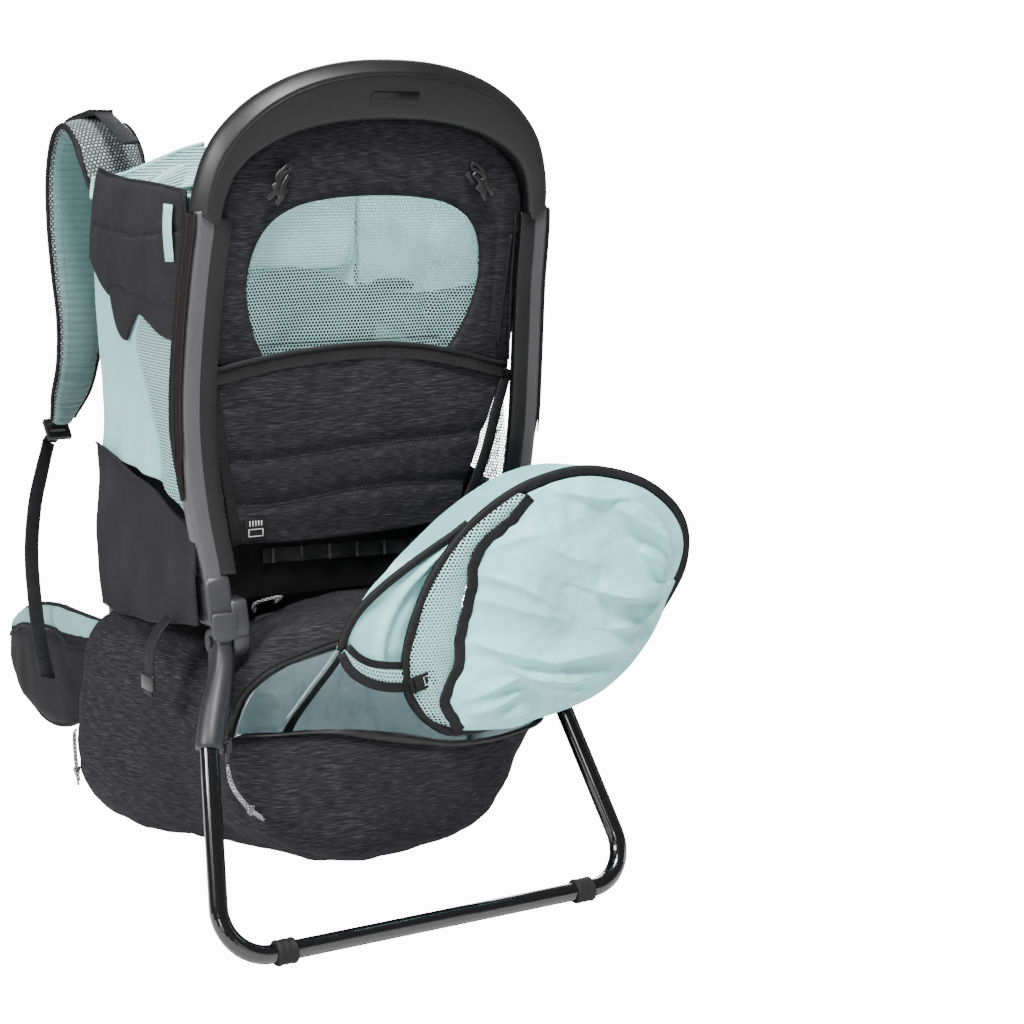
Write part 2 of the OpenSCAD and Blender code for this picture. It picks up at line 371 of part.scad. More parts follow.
module shade_rear_hoop() at() color([0.04, 0.04, 0.04]) tube(RH, hoop_d / 2 - 0.7, 8, [0, 1, 0.1]);
module shade_rear_panel() at() color(pale)
  sheet([for (i = [0 : 7]) let (v = unit(RM[i] - RH[i]), q = RH[i] + v * 5.6) [for (j = [0 : 3]) q + (RM[i] - q) * j / 3]], [0, -1.2, 0]);
module shade_tab() at() color([0.06, 0.06, 0.06]) translate([16, -87, 212]) rotate([0, -20, 0]) cube([18, 1.2, 22]);

post_left();
post_right();
head_arch();
post_trims();
inner_strips();
strip_rivets();
hinge_housing_left();
hinge_housing_right();
hinge_pins();
side_struts();
front_frame();
base_foot();
rear_panel_upper();
window_mesh();
panel_zip();
rear_panel_lower();
panel_bindings();
gusset_meshes();
canopy_clips();
care_label();
cockpit_wing_left();
cockpit_wing_right();
side_stretch_panels();
side_mesh_panels();
side_lower_panels();
drool_pad();
wing_tags();
back_pad();
lumbar_pad();
bag_shell();
bag_lining();
bag_zip();
zip_slider();
lid_cord_loop();
pull_cord_rear();
pull_cord_side();
harness_straps();
harness_buckle();
buckle_button();
child_seat();
yoke_plate();
shoulder_strap_left();
shoulder_strap_right();
ladder_locks();
lower_webbings();
lifter_webbings();
stand_tube();
stand_socket_left();
stand_socket_right();
stand_feet();
hip_wing_left();
hip_wing_right();
hip_strap_left();
hip_strap_right();
shade_cloth();
shade_hoop();
shade_rear_hoop();
shade_rear_panel();
shade_mesh();
shade_tab();
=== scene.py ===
"""Looks of a framed child carrier backpack standing on its kickstand.

Lengths below are millimetres in a design frame whose floor is z = 0 and whose +Y is the
wearer's side; P() turns them into the row's metres.
"""
import bpy
import math
from mathutils import Matrix, Vector, noise
from mathutils.kdtree import KDTree


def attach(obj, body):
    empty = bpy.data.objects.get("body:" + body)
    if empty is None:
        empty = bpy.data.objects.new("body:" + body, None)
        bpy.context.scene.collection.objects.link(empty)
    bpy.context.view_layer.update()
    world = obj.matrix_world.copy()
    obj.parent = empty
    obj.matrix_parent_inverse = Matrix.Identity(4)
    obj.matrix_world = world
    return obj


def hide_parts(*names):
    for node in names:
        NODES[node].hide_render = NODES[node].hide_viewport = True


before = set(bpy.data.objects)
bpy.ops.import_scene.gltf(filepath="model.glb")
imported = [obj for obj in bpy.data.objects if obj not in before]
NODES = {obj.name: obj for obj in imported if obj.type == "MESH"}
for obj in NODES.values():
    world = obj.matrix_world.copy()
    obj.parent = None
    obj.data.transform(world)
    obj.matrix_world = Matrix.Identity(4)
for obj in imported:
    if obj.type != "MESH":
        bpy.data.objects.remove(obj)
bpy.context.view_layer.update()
YO = 265.0
SIDES = ((-1, "left"), (1, "right"))


def P(x, y, z):
    return Vector((x / 1000, (y - YO) / 1000, z / 1000))


# ---- curves ---------------------------------------------------------------
def catmull(points, count, closed=False):
    """Smooth curve through the points, count samples evenly spaced in parameter."""
    pts = [Vector(p) for p in points]
    n = len(pts)
    spans = n if closed else n - 1
    out = []
    for k in range(count):
        t = k * spans / (count if closed else count - 1)
        i = min(int(t), spans - 1)
        f = t - i
        if closed:
            a, b, c, d = (pts[(i + j) % n] for j in (-1, 0, 1, 2))
        else:
            a, b, c, d = (pts[min(max(i + j, 0), n - 1)] for j in (-1, 0, 1, 2))
        out.append(0.5 * (2 * b + (c - a) * f + (2 * a - 5 * b + 4 * c - d) * f * f
                          + (3 * b - a - 3 * c + d) * f ** 3))
    return out


def even(points, step, closed=False):
    """The same smooth curve with points about step apart."""
    fine = catmull(points, 24 * len(points), closed)
    if closed:
        fine.append(fine[0])
    run = [0.0]
    for a, b in zip(fine, fine[1:]):
        run.append(run[-1] + (b - a).length)
    count = max(2, int(round(run[-1] / step)))
    out, j = [], 0
    for k in range(count if closed else count + 1):
        want = run[-1] * k / count
        while j < len(run) - 2 and run[j + 1] < want:
            j += 1
        f = (want - run[j]) / max(run[j + 1] - run[j], 1e-9)
        out.append(fine[j].lerp(fine[j + 1], min(max(f, 0), 1)))
    return out


def mirror_x(points, s):
    return [Vector((s * p[0], p[1], p[2])) for p in points]


def tangent(pts, i, closed=False):
    n = len(pts)
    if closed:
        return (pts[(i + 1) % n] - pts[(i - 1) % n]).normalized()
    return (pts[min(i + 1, n - 1)] - pts[max(i - 1, 0)]).normalized()


def pw(x, e):
    return math.copysign(abs(x) ** e, x)


def wob(x, y, z, size, amount, seed=0):
    """Repeatable soft noise for folds."""
    return amount * noise.noise(Vector((x / size + seed, y / size, z / size)))


# ---- meshes ---------------------------------------------------------------
COLL = bpy.context.scene.collection


def link(name, verts, faces, uvs, mats, body, face_mat=None, smooth=True):
    me = bpy.data.meshes.new(name)
    me.from_pydata([P(*v) for v in verts], [], faces)
    if uvs:
        layer = me.uv_layers.new(name="UVMap")
        k = 0
        for f in uvs:
            for uv in f:
                layer.data[k].uv = (uv[0] / 1000, uv[1] / 1000)
                k += 1
    for m in mats if isinstance(mats, (list, tuple)) else [mats]:
        me.materials.append(m)
    for i, p in enumerate(me.polygons):
        p.use_smooth = smooth
        if face_mat:
            p.material_index = face_mat[i]
    o = bpy.data.objects.new(name, me)
    COLL.objects.link(o)
    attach(o, body)
    return o


def surface(name, rows, mats, body, slot=None, closed=False, cap=False, loop=False, thick=0, sub=0,
            pick=None, smooth=True, offset=0.0):
    """Quads over rows of points. closed joins each row's ends, loop joins the last row to the first."""
    rows = [[Vector(p) for p in r] for r in rows]
    m, n = len(rows), len(rows[0])
    u, v = [0.0], [0.0]
    for j in range(n if closed else n - 1):
        u.append(u[-1] + sum((rows[i][(j + 1) % n] - rows[i][j]).length for i in range(m)) / m)
    for i in range(m if loop else m - 1):
        v.append(v[-1] + sum((rows[(i + 1) % m][j] - rows[i][j]).length for j in range(n)) / n)
    verts = [p for r in rows for p in r]
    faces, uvs, fm = [], [], []
    for i in range(m if loop else m - 1):
        for j in range(n if closed else n - 1):
            a, b = i * n + j, i * n + (j + 1) % n
            c, d = ((i + 1) % m) * n + (j + 1) % n, ((i + 1) % m) * n + j
            faces.append((a, b, c, d))
            uvs.append(((u[j], v[i]), (u[j + 1], v[i]), (u[j + 1], v[i + 1]), (u[j], v[i + 1])))
            fm.append(pick(i / max(m - 1, 1), j / n) if pick else 0)
    if cap:
        for i in (0, m - 1):
            c = sum((rows[i][j] for j in range(n)), Vector()) / n
            verts.append(c)
            k = len(verts) - 1
            for j in range(n):
                a, b = i * n + j, i * n + (j + 1) % n
                faces.append((b, a, k) if i == 0 else (a, b, k))
                uvs.append(((u[j], v[i]), (u[j + 1], v[i]), (u[j], v[i])))
                fm.append(pick(i / max(m - 1, 1), j / n) if pick else 0)
    o = link(name, verts, faces, uvs, mats, body, fm, smooth)
    if thick:
        s = o.modifiers.new("thick", "SOLIDIFY")
        s.thickness = thick / 1000
        s.offset = offset
    if sub:
        s = o.modifiers.new("soft", "SUBSURF")
        s.levels = s.render_levels = sub
    return o


def sweep(name, pts, profile, mats, body, slot=None, ref=(0, 1, 0), closed=False, cap=True, scale=None,
          pick=None, smooth=True, sub=0):
    """Profile of (a, b) offsets carried along a path; a runs across ref, b along it."""
    pts = [Vector(p) for p in pts]
    rows = []
    for i, p in enumerate(pts):
        t = tangent(pts, i, closed)
        r = Vector(ref(i / len(pts)) if callable(ref) else ref)
        a = t.cross(r).normalized()
        b = a.cross(t).normalized()
        k = scale(i / max(len(pts) - 1, 1)) if scale else 1.0
        ka, kb = k if isinstance(k, tuple) else (k, k)
        rows.append([p + a * (q[0] * ka) + b * (q[1] * kb) for q in profile])
    return surface(name, rows, mats, body, slot, closed=True, cap=cap and not closed, loop=closed,
                   pick=pick, smooth=smooth, sub=sub)


def circle(r, n=12, rb=None):
    rb = r if rb is None else rb
    return [(r * math.cos(2 * math.pi * k / n), rb * math.sin(2 * math.pi * k / n)) for k in range(n)]


def slab(a, b, r=1.0, n=3):
    """Rounded rectangle of half sizes a, b with corner radius r."""
    out = []
    for q, (sx, sy) in enumerate(((1, 1), (-1, 1), (-1, -1), (1, -1))):
        for k in range(n + 1):
            t = math.pi / 2 * (q + k / n)
            out.append((sx * (a - r) + r * math.cos(t), sy * (b - r) + r * math.sin(t)))
    return out


def tube(name, pts, r, mat, body, slot=None, n=12, closed=False, ref=(0, 1, 0.02), rb=None, step=0,
         scale=None):
    path = even(pts, step, closed) if step else [Vector(p) for p in pts]
    return sweep(name, path, circle(r, n, rb), mat, body, slot, ref=ref, closed=closed, scale=scale)


def ribbon(name, pts, half, thin, mat, body, slot=None, wide=(1, 0, 0), step=6, scale=None, r=None):
    """Flat strap; wide is the direction across it."""
    path = even(pts, step)
    w = Vector(wide)
    rows = []
    prof = slab(half, thin, min(thin * 0.9, 1.2) if r is None else r, 2)
    for i, p in enumerate(path):
        t = tangent(path, i)
        a = (w - t * w.dot(t)).normalized()
        b = t.cross(a)
        k = scale(i / (len(path) - 1)) if scale else 1.0
        rows.append([p + a * (q[0] * k) + b * q[1] for q in prof])
    return surface(name, rows, mat, body, slot, closed=True, cap=True)


def block(name, c, size, mat, body, slot=None, r=1.5, turn=None, n=3):
    """Moulded block with rounded edges, built as a stack of rounded rectangles."""
    hx, hy, hz = (s / 2 for s in size)
    r = min(r, hx * 0.98, hy * 0.98, hz * 0.98)
    rows = []
    for k in range(2 * n + 2):
        t = math.pi / 2 * (k / n if k <= n else (k - 1) / n)
        if k > n:
            t = math.pi / 2 * ((k - n - 1) / n) + math.pi / 2
        ins = r * (1 - math.sin(t))
        z = -hz + r - r * math.cos(t) if k <= n else hz - r - r * math.cos(t)
        rows.append([Vector((q[0], q[1], z)) for q in slab(hx - ins, hy - ins, max(r - ins * 0.5, 0.2), n)])
    m = Matrix(turn) if turn is not None else Matrix.Identity(3)
    rows = [[m @ q + Vector(c) for q in row] for row in rows]
    return surface(name, rows, mat, body, slot, closed=True, cap=True)


def rot(ax, deg):
    return Matrix.Rotation(math.radians(deg), 3, ax)


def stitch(name, pts, body, mat=None, pitch=3.6, dash=2.4, r=0.35):
    """A row of thread: one short lozenge per stitch."""
    path = even(pts, pitch)
    verts, faces = [], []
    for i in range(len(path) - 1):
        t = (path[i + 1] - path[i]).normalized()
        a = t.cross(Vector((0.1, 0.9, 0.3))).normalized()
        b = a.cross(t)
        c = (path[i] + path[i + 1]) / 2
        k = len(verts)
        verts.append(c - t * dash / 2)
        verts += [c + a * r, c + b * r, c - a * r, c - b * r]
        verts.append(c + t * dash / 2)
        for j in range(4):
            faces.append((k, k + 1 + (j + 1) % 4, k + 1 + j))
            faces.append((k + 5, k + 1 + j, k + 1 + (j + 1) % 4))
    return link(name, verts, faces, None, mat or M["thread"], body, smooth=False)


# ---- materials ------------------------------------------------------------
def add(t, kind, ins=None, **props):
    n = t.nodes.new(kind)
    for k, v in props.items():
        setattr(n, k, v)
    for k, v in (ins or {}).items():
        if isinstance(v, bpy.types.NodeSocket):
            t.links.new(v, n.inputs[k])
        else:
            n.inputs[k].default_value = v
    return n


def start(name, rough, sheen=0.0, coat=0.0, metal=0.0, spec=0.5, sheen_rough=0.5):
    m = bpy.data.materials.new(name)
    m.use_nodes = True
    t = m.node_tree
    b = t.nodes["Principled BSDF"]
    b.inputs["Roughness"].default_value = rough
    b.inputs["Sheen Weight"].default_value = sheen
    b.inputs["Sheen Roughness"].default_value = sheen_rough
    b.inputs["Coat Weight"].default_value = coat
    b.inputs["Metallic"].default_value = metal
    b.inputs["Specular IOR Level"].default_value = spec
    return m, t, b


def place(t, scale, coord="Object"):
    tc = add(t, "ShaderNodeTexCoord")
    return add(t, "ShaderNodeMapping", {"Vector": tc.outputs[coord], "Scale": scale}).outputs["Vector"]


def speck(t, scale, coord="Object", detail=2.0, size=1.0):
    return add(t, "ShaderNodeTexNoise", {"Vector": place(t, scale, coord), "Scale": size,
                                         "Detail": detail}).outputs["Fac"]


def ramp(t, fac, stops):
    n = add(t, "ShaderNodeValToRGB", {"Fac": fac})
    el = n.color_ramp.elements
    while len(el) < len(stops):
        el.new(0.5)
    for e, (pos, c) in zip(el, stops):
        e.position = pos
        e.color = (*c, 1) if len(c) == 3 else c
    return n.outputs["Color"]


def mathn(t, op, a, b=0.0, clamp=False):
    n = add(t, "ShaderNodeMath", {0: a, 1: b}, operation=op)
    n.use_clamp = clamp
    return n.outputs[0]


def mixc(t, fac, a, b, mode="MIX"):
    n = t.nodes.new("ShaderNodeMix")
    n.data_type = "RGBA"
    n.blend_type = mode
    for k, v in ((0, fac), (6, a), (7, b)):
        if isinstance(v, bpy.types.NodeSocket):
            t.links.new(v, n.inputs[k])
        else:
            n.inputs[k].default_value = v if k == 0 else (*v, 1) if len(v) == 3 else v
    return n.outputs[2]


def bump(t, b, height, strength, dist):
    n = add(t, "ShaderNodeBump", {"Height": height, "Strength": strength, "Distance": dist})
    t.links.new(n.outputs[0], b.inputs["Normal"])


def lattice(t, pitch, coord="UV"):
    """Distance to the nearest point of a triangular grid, in units of the pitch."""
    v = add(t, "ShaderNodeTexCoord").outputs[coord]
    k = 1000.0 / pitch
    d = []
    for shift in (0.0, 0.5):
        x = add(t, "ShaderNodeVectorMath", {0: v, 1: (k, k / 1.732, 0)}, operation="MULTIPLY").outputs[0]
        x = add(t, "ShaderNodeVectorMath", {0: x, 1: (shift, shift, 0)}, operation="ADD").outputs[0]
        x = add(t, "ShaderNodeVectorMath", {0: x}, operation="FRACTION").outputs[0]
        x = add(t, "ShaderNodeVectorMath", {0: x, 1: (0.5, 0.5, 0)}, operation="SUBTRACT").outputs[0]
        x = add(t, "ShaderNodeVectorMath", {0: x, 1: (1, 1.732, 0)}, operation="MULTIPLY").outputs[0]
        d.append(add(t, "ShaderNodeVectorMath", {0: x}, operation="LENGTH").outputs["Value"])
    return mathn(t, "MINIMUM", d[0], d[1])


def step_up(t, x, lo, hi):
    return add(t, "ShaderNodeMapRange", {0: x, 1: lo, 2: hi, 3: 0.0, 4: 1.0}, clamp=True).outputs[0]


def heather(name, dark, light):
    """Charcoal weave with pale horizontal slubs on every side of the object."""
    m, t, b = start(name, 0.85, spec=0.12)
    side = speck(t, (80, 80, 2000), detail=3)
    top = speck(t, (80, 2000, 80), detail=3)
    nz = add(t, "ShaderNodeSeparateXYZ", {0: add(t, "ShaderNodeNewGeometry").outputs["Normal"]}).outputs[2]
    up = step_up(t, mathn(t, "ABSOLUTE", nz), 0.62, 0.85)
    streak = add(t, "ShaderNodeMix", {0: up, 2: side, 3: top}).outputs[0]
    fine = speck(t, (260, 260, 2600), detail=1)
    col = ramp(t, streak, [(0.42, dark), (0.56, tuple((a * 2 + c) / 3 for a, c in zip(dark, light))),
                           (0.70, light)])
    big = speck(t, (5, 5, 5), detail=2)
    col = mixc(t, mathn(t, "MULTIPLY", step_up(t, big, 0.35, 0.7), 0.35), col, dark)
    t.links.new(col, b.inputs["Base Color"])
    h = mathn(t, "ADD", mathn(t, "MULTIPLY", streak, 0.7), mathn(t, "MULTIPLY", fine, 0.5))
    bump(t, b, h, 0.45, 0.0006)
    return m


def knit(name, base, var=0.25, rough=0.85, sheen=0.15, cell=0.9, depth=0.35, spec=0.3):
    """Plain fabric with a fine cell and soft tone changes."""
    m, t, b = start(name, rough, sheen=sheen, spec=spec)
    k = 1000 / cell
    cells = speck(t, (k, k, k), detail=1)
    big = speck(t, (9, 9, 9), detail=3)
    lo = tuple(c * (1 - var) for c in base)
    hi = tuple(min(c * (1 + var * 0.6), 0.95) for c in base)
    col = ramp(t, big, [(0.3, lo), (0.7, hi)])
    col = mixc(t, mathn(t, "MULTIPLY", step_up(t, cells, 0.35, 0.65), 0.3), col, lo)
    t.links.new(col, b.inputs["Base Color"])
    bump(t, b, cells, depth, 0.0004)
    return m


def holes(name, base, pitch, open_r, rough=0.75, shade=0.75):
    """Open mesh: round holes on a triangular grid, rims slightly darker."""
    m, t, b = start(name, rough, sheen=0.2)
    d = lattice(t, pitch)
    big = speck(t, (14, 14, 14), detail=2)
    col = ramp(t, big, [(0.3, tuple(c * 0.86 for c in base)), (0.7, base)])
    col = mixc(t, step_up(t, d, open_r + 0.16, open_r), col, tuple(c * shade for c in base))
    t.links.new(col, b.inputs["Base Color"])
    t.links.new(step_up(t, d, open_r - 0.04, open_r + 0.04), b.inputs["Alpha"])
    bump(t, b, step_up(t, d, open_r, open_r + 0.2), 0.4, 0.0005)
    return m


def ribbed(name, base, rib, dot, rough=0.8, axis=1):
    """Padded lining with soft ribs across the strap and small dots; painted shade in rib valleys and dot
    pits.
    """
    m, t, b = start(name, rough, sheen=0.25)
    uv = add(t, "ShaderNodeSeparateXYZ", {0: add(t, "ShaderNodeTexCoord").outputs["UV"]}).outputs[axis]
    wave = mathn(t, "SINE", mathn(t, "MULTIPLY", uv, 2 * math.pi * 1000 / rib))
    d = lattice(t, dot)
    # painted shade: the rib valleys and the dot pits are coloured darker
    col = mixc(t, mathn(t, "MULTIPLY", step_up(t, wave, -1.0, 0.2), 0.8), tuple(c * 0.8 for c in base), base)
    col = mixc(t, mathn(t, "MULTIPLY", step_up(t, d, 0.3, 0.2), 0.35), col, tuple(c * 0.6 for c in base))
    t.links.new(col, b.inputs["Base Color"])
    h = mathn(t, "ADD", mathn(t, "MULTIPLY", wave, 0.8), step_up(t, d, 0.15, 0.35))
    bump(t, b, h, 0.5, 0.0009)
    return m


def spacer(name, pitch=3.4):
    """Black spacer mesh with white and teal yarn dots."""
    m, t, b = start(name, 0.7, sheen=0.1)
    d = lattice(t, pitch)
    n2 = speck(t, (420, 420, 420), "UV", 1)
    col = mixc(t, step_up(t, d, 0.36, 0.27), (0.005, 0.005, 0.006), (0.34, 0.42, 0.42))
    col = mixc(t, mathn(t, "MULTIPLY", step_up(t, n2, 0.40, 0.55), 0.7), col, (0.010, 0.013, 0.014))
    t.links.new(col, b.inputs["Base Color"])
    bump(t, b, step_up(t, d, 0.5, 0.2), 0.6, 0.0009)
    return m


def woven(name, base, pitch=1.3, rough=0.65, axis=1, spec=0.3):
    """Webbing or grosgrain: narrow ribs across the tape, with a painted highlight on the rib crests."""
    m, t, b = start(name, rough, spec=spec)
    uv = add(t, "ShaderNodeSeparateXYZ", {0: add(t, "ShaderNodeTexCoord").outputs["UV"]})
    rib = mathn(t, "SINE", mathn(t, "MULTIPLY", uv.outputs[axis], 2 * math.pi * 1000 / pitch))
    cross = mathn(t, "SINE", mathn(t, "MULTIPLY", uv.outputs[1 - axis], 2 * math.pi * 1000 / (pitch * 1.7)))
    h = mathn(t, "MULTIPLY", rib, mathn(t, "ADD", mathn(t, "MULTIPLY", cross, 0.35), 0.7))
    tone = speck(t, (60, 60, 60), detail=2)
    col = ramp(t, tone, [(0.3, tuple(c * 0.7 for c in base)), (0.7, tuple(c * 1.35 for c in base))])
    # painted highlight: the rib crests are coloured lighter
    col = mixc(t, mathn(t, "MULTIPLY", step_up(t, h, 0.2, 1.0), 0.35), col,
               tuple(min(c * 2.2, 1) for c in base))
    t.links.new(col, b.inputs["Base Color"])
    bump(t, b, h, 0.4, 0.0004)
    return m


def nylon(name, base, rough=0.42, var=0.12, crinkle=0.25, glow=0.0, coat=0.0):
    """Thin coated cloth with a soft shine and small crinkles."""
    m, t, b = start(name, rough, sheen=0.15, coat=coat, spec=0.45)
    big = speck(t, (7, 7, 16), detail=3)
    col = ramp(t, big, [(0.3, tuple(c * (1 - var) for c in base)), (0.7, base)])
    t.links.new(col, b.inputs["Base Color"])
    fold = speck(t, (16, 16, 34), detail=3)
    grain = speck(t, (1400, 1400, 1400), detail=0)
    h = mathn(t, "ADD", mathn(t, "MULTIPLY", fold, 4.0), mathn(t, "MULTIPLY", grain, 0.06))
    bump(t, b, h, crinkle, 0.003)
    if glow:
        tr = add(t, "ShaderNodeBsdfTranslucent", {"Color": col})
        mx = add(t, "ShaderNodeMixShader", {0: glow, 1: b.outputs[0], 2: tr.outputs[0]})
        t.links.new(mx.outputs[0], t.nodes["Material Output"].inputs[0])
    return m


def plastic(name, base, rough, grain=0.15, cell=0.5, coat=0.0, metal=0.0, var=0.15, edge_highlight=0.0, spec=0.5):
    """Moulded or painted part with a fine grain; its convex edges get a painted highlight."""
    m, t, b = start(name, rough, coat=coat, metal=metal, spec=spec)
    k = 1000 / cell
    g = speck(t, (k, k, k), detail=2)
    big = speck(t, (12, 12, 12), detail=3)
    col = ramp(t, big, [(0.3, tuple(c * (1 - var) for c in base)),
                        (0.7, tuple(c * (1 + var) for c in base))])
    # painted highlight: convex edges (high pointiness) are coloured lighter
    if edge_highlight:
        edge = add(t, "ShaderNodeNewGeometry").outputs["Pointiness"]
        col = mixc(t, mathn(t, "MULTIPLY", step_up(t, edge, 0.53, 0.6), edge_highlight), col,
                   tuple(min(c * 2.2, 1) for c in base))
    t.links.new(col, b.inputs["Base Color"])
    rr = add(t, "ShaderNodeMapRange", {0: big, 1: 0.3, 2: 0.7, 3: rough * 0.88,
                                       4: min(rough * 1.12, 1)}).outputs[0]
    t.links.new(rr, b.inputs["Roughness"])
    bump(t, b, g, grain, 0.0003)
    return m


def braid(name):
    m, t, b = start(name, 0.75, sheen=0.1)
    d = lattice(t, 2.3)
    n = speck(t, (300, 300, 300), "UV", 1)
    col = mixc(t, step_up(t, mathn(t, "ADD", d, mathn(t, "MULTIPLY", n, 0.3)), 0.36, 0.44),
               (0.62, 0.63, 0.64), (0.015, 0.015, 0.016))
    t.links.new(col, b.inputs["Base Color"])
    bump(t, b, step_up(t, d, 0.5, 0.1), 0.6, 0.0006)
    return m


M = {"heather": heather("heather_charcoal", (0.0070, 0.0066, 0.0076), (0.046, 0.046, 0.051)),
     "hip": knit("hip_teal", (0.17, 0.32, 0.31), var=0.12, cell=1.2, depth=0.4),
     "dark": knit("fabric_dark", (0.0088, 0.0084, 0.0098), sheen=0.02, spec=0.15),
     "black": knit("fabric_black", (0.0035, 0.0034, 0.0036), sheen=0.0, spec=0.12),
     "trim": knit("fabric_trim", (0.0065, 0.0052, 0.0046), sheen=0.0, spec=0.15),
     "stretch": knit("stretch_teal", (0.21, 0.44, 0.42), var=0.08, cell=0.7, depth=0.25),
     "mesh": holes("mesh_teal", (0.25, 0.46, 0.44), 3.4, 0.355),
     "mesh_side": holes("mesh_side", (0.27, 0.49, 0.47), 3.4, 0.30), "mesh_shade": holes("mesh_shade",
        (0.30, 0.54, 0.52), 3.4, 0.31), "rib": ribbed("rib_teal", (0.085, 0.185, 0.178), 8.0, 3.0),
     "collar": ribbed("collar_teal", (0.34, 0.58, 0.55), 3.2, 2.6), "spacer": spacer("spacer_mesh"),
     # painted light: lining_teal's teal is the cloth's own, its near-white brightness stands for light
     # inside the bag
     "lining": nylon("lining_teal", (0.78, 0.93, 0.96), rough=0.38, crinkle=0.7, var=0.35, coat=0.1),
     "nylon": nylon("shade_nylon", (0.27, 0.61, 0.60), crinkle=0.24, glow=0.03),
     "binding": woven("binding_black", (0.0045, 0.0045, 0.0050), 1.6, spec=0.2),
     "webbing": woven("webbing_black", (0.0060, 0.0060, 0.0068), 1.8, spec=0.2),
     "zip": woven("zip_black", (0.0045, 0.0045, 0.0050), 2.0, rough=0.45, spec=0.3),
     "thread": knit("thread_grey", (0.035, 0.035, 0.038), cell=0.4), "thread_pale": knit("thread_pale",
        (0.16, 0.20, 0.20), cell=0.4), "label": woven("label_black", (0.0045, 0.0045, 0.0045), 0.8,
                                                      spec=0.2), "print": knit("label_print",
        (0.50, 0.50, 0.50), cell=0.4), "arch": plastic("arch_plastic", (0.0060, 0.0057, 0.0062), 0.42,
                                                       grain=0.30, cell=0.45, edge_highlight=0.2, spec=0.30),
     "frame": plastic("frame_satin", (0.048, 0.047, 0.050), 0.40, grain=0.10, metal=0.25, var=0.05,
                      edge_highlight=0.1), "housing": plastic("housing_grey", (0.021, 0.021, 0.023), 0.42,
                                                    grain=0.2, cell=0.45, edge_highlight=0.2, spec=0.42),
     # painted light: housing_grey and sleeve_grey are one grey plastic; the housing copy is lighter for its
     # shade, the sleeve darker where lit
     "sleeve": plastic("sleeve_grey", (0.0125, 0.0125, 0.014), 0.42, grain=0.2, cell=0.45, edge_highlight=0.2,
                       spec=0.36), "gloss": plastic("stand_black", (0.003, 0.003, 0.0034), 0.13,
                                                    grain=0.02, coat=0.5, var=0.1),
     "strip": plastic("strip_black", (0.003, 0.003, 0.0033), 0.30, grain=0.1, spec=0.3),
     "buckle": plastic("buckle_plastic", (0.0045, 0.0045, 0.0048), 0.36, grain=0.15, edge_highlight=0.3, spec=0.4),
     "rubber": plastic("rubber_black", (0.0070, 0.0070, 0.0074), 0.7, grain=0.5, cell=0.8, spec=0.25),
     "steel": plastic("rivet_steel", (0.45, 0.45, 0.46), 0.3, grain=0.1, metal=1.0),
     "badge": plastic("badge_gloss", (0.002, 0.002, 0.0022), 0.22, grain=0.02, spec=0.3),
     "red": plastic("button_red", (0.30, 0.02, 0.02), 0.4), "cord": braid("cord_braid"),}

# material, body and slot of the pieces that share them
HEATHER = M["heather"], "frame", "heather_charcoal"
DARK = M["dark"], "frame", "heather_charcoal"
BINDING = M["binding"], "frame", "binding_black"
WEBBING = M["webbing"], "frame", "webbing_black"
CORD = M["cord"], "frame", "cord_braid"
HOUSING = M["housing"], "frame", "arch_plastic"
ARCH = M["arch"], "frame", "arch_plastic"
BUCKLE = M["buckle"], "frame", "buckle_plastic"
SHADE_EDGE = M["binding"], "sunshade", "binding_black"
SHADE_CLOTH = M["nylon"], "sunshade", "shade_nylon"
HARNESS_WEB = M["webbing"], "shoulder_harness", "webbing_black"

# ---- camera and cords -----------------------------------------------------
cam = bpy.data.cameras.new("camera")
cam_ob = bpy.data.objects.new("camera", cam)
COLL.objects.link(cam_ob)
cam_ob.location = P(-1106.1, -1948.8, 722.4)
AZ, EL = math.radians(-33.222), math.radians(8.890)
look = Vector((-math.sin(AZ) * math.cos(EL), math.cos(AZ) * math.cos(EL), -math.sin(EL)))
cam_ob.rotation_euler = look.to_track_quat("-Z", "Y").to_euler()
cam.sensor_width = 36
cam.lens = 84.38
bpy.context.scene.camera = cam_ob

LID_LOOP = [(-98, 30, 283), (-103, 24, 289), (-103, 16, 294), (-96, 11, 297), (-86, 11, 298),
            (-78, 16, 297), (-75, 23, 294), (-77, 29, 289.5)]
CORD_REAR = [(-158, -28, 156.8), (-160, -32, 150), (-160, -36, 142), (-158, -41, 134), (-154, -46, 126),
             (-149, -50, 119), (-143, -54, 113), (-137, -57, 108)]
CORD_SIDE = [(-197.1, 226, 142), (-199.5, 227, 140), (-200.5, 227.5, 134), (-200.5, 227, 125),
             (-200.3, 226.5, 115), (-200, 225.5, 105), (-199.5, 224, 95), (-199, 222, 86)]


def knot(name, c, r, turn=None):
    """Overhand knot: a trefoil of the same braid."""
    pts = []
    for k in range(28):
        t = 2 * math.pi * k / 28
        q = Vector((math.sin(t) + 2 * math.sin(2 * t), 0.8 * math.sin(3 * t),
                    math.cos(t) - 2 * math.cos(2 * t)))
        q = Vector((q.x * r * 0.32, q.y * r * 0.45, q.z * r * 0.42))
        pts.append(Vector(c) + (turn @ q if turn is not None else q))
    return tube(name, pts, 1.15, *CORD, n=8, closed=True, ref=(0.2, 1, 0.3))


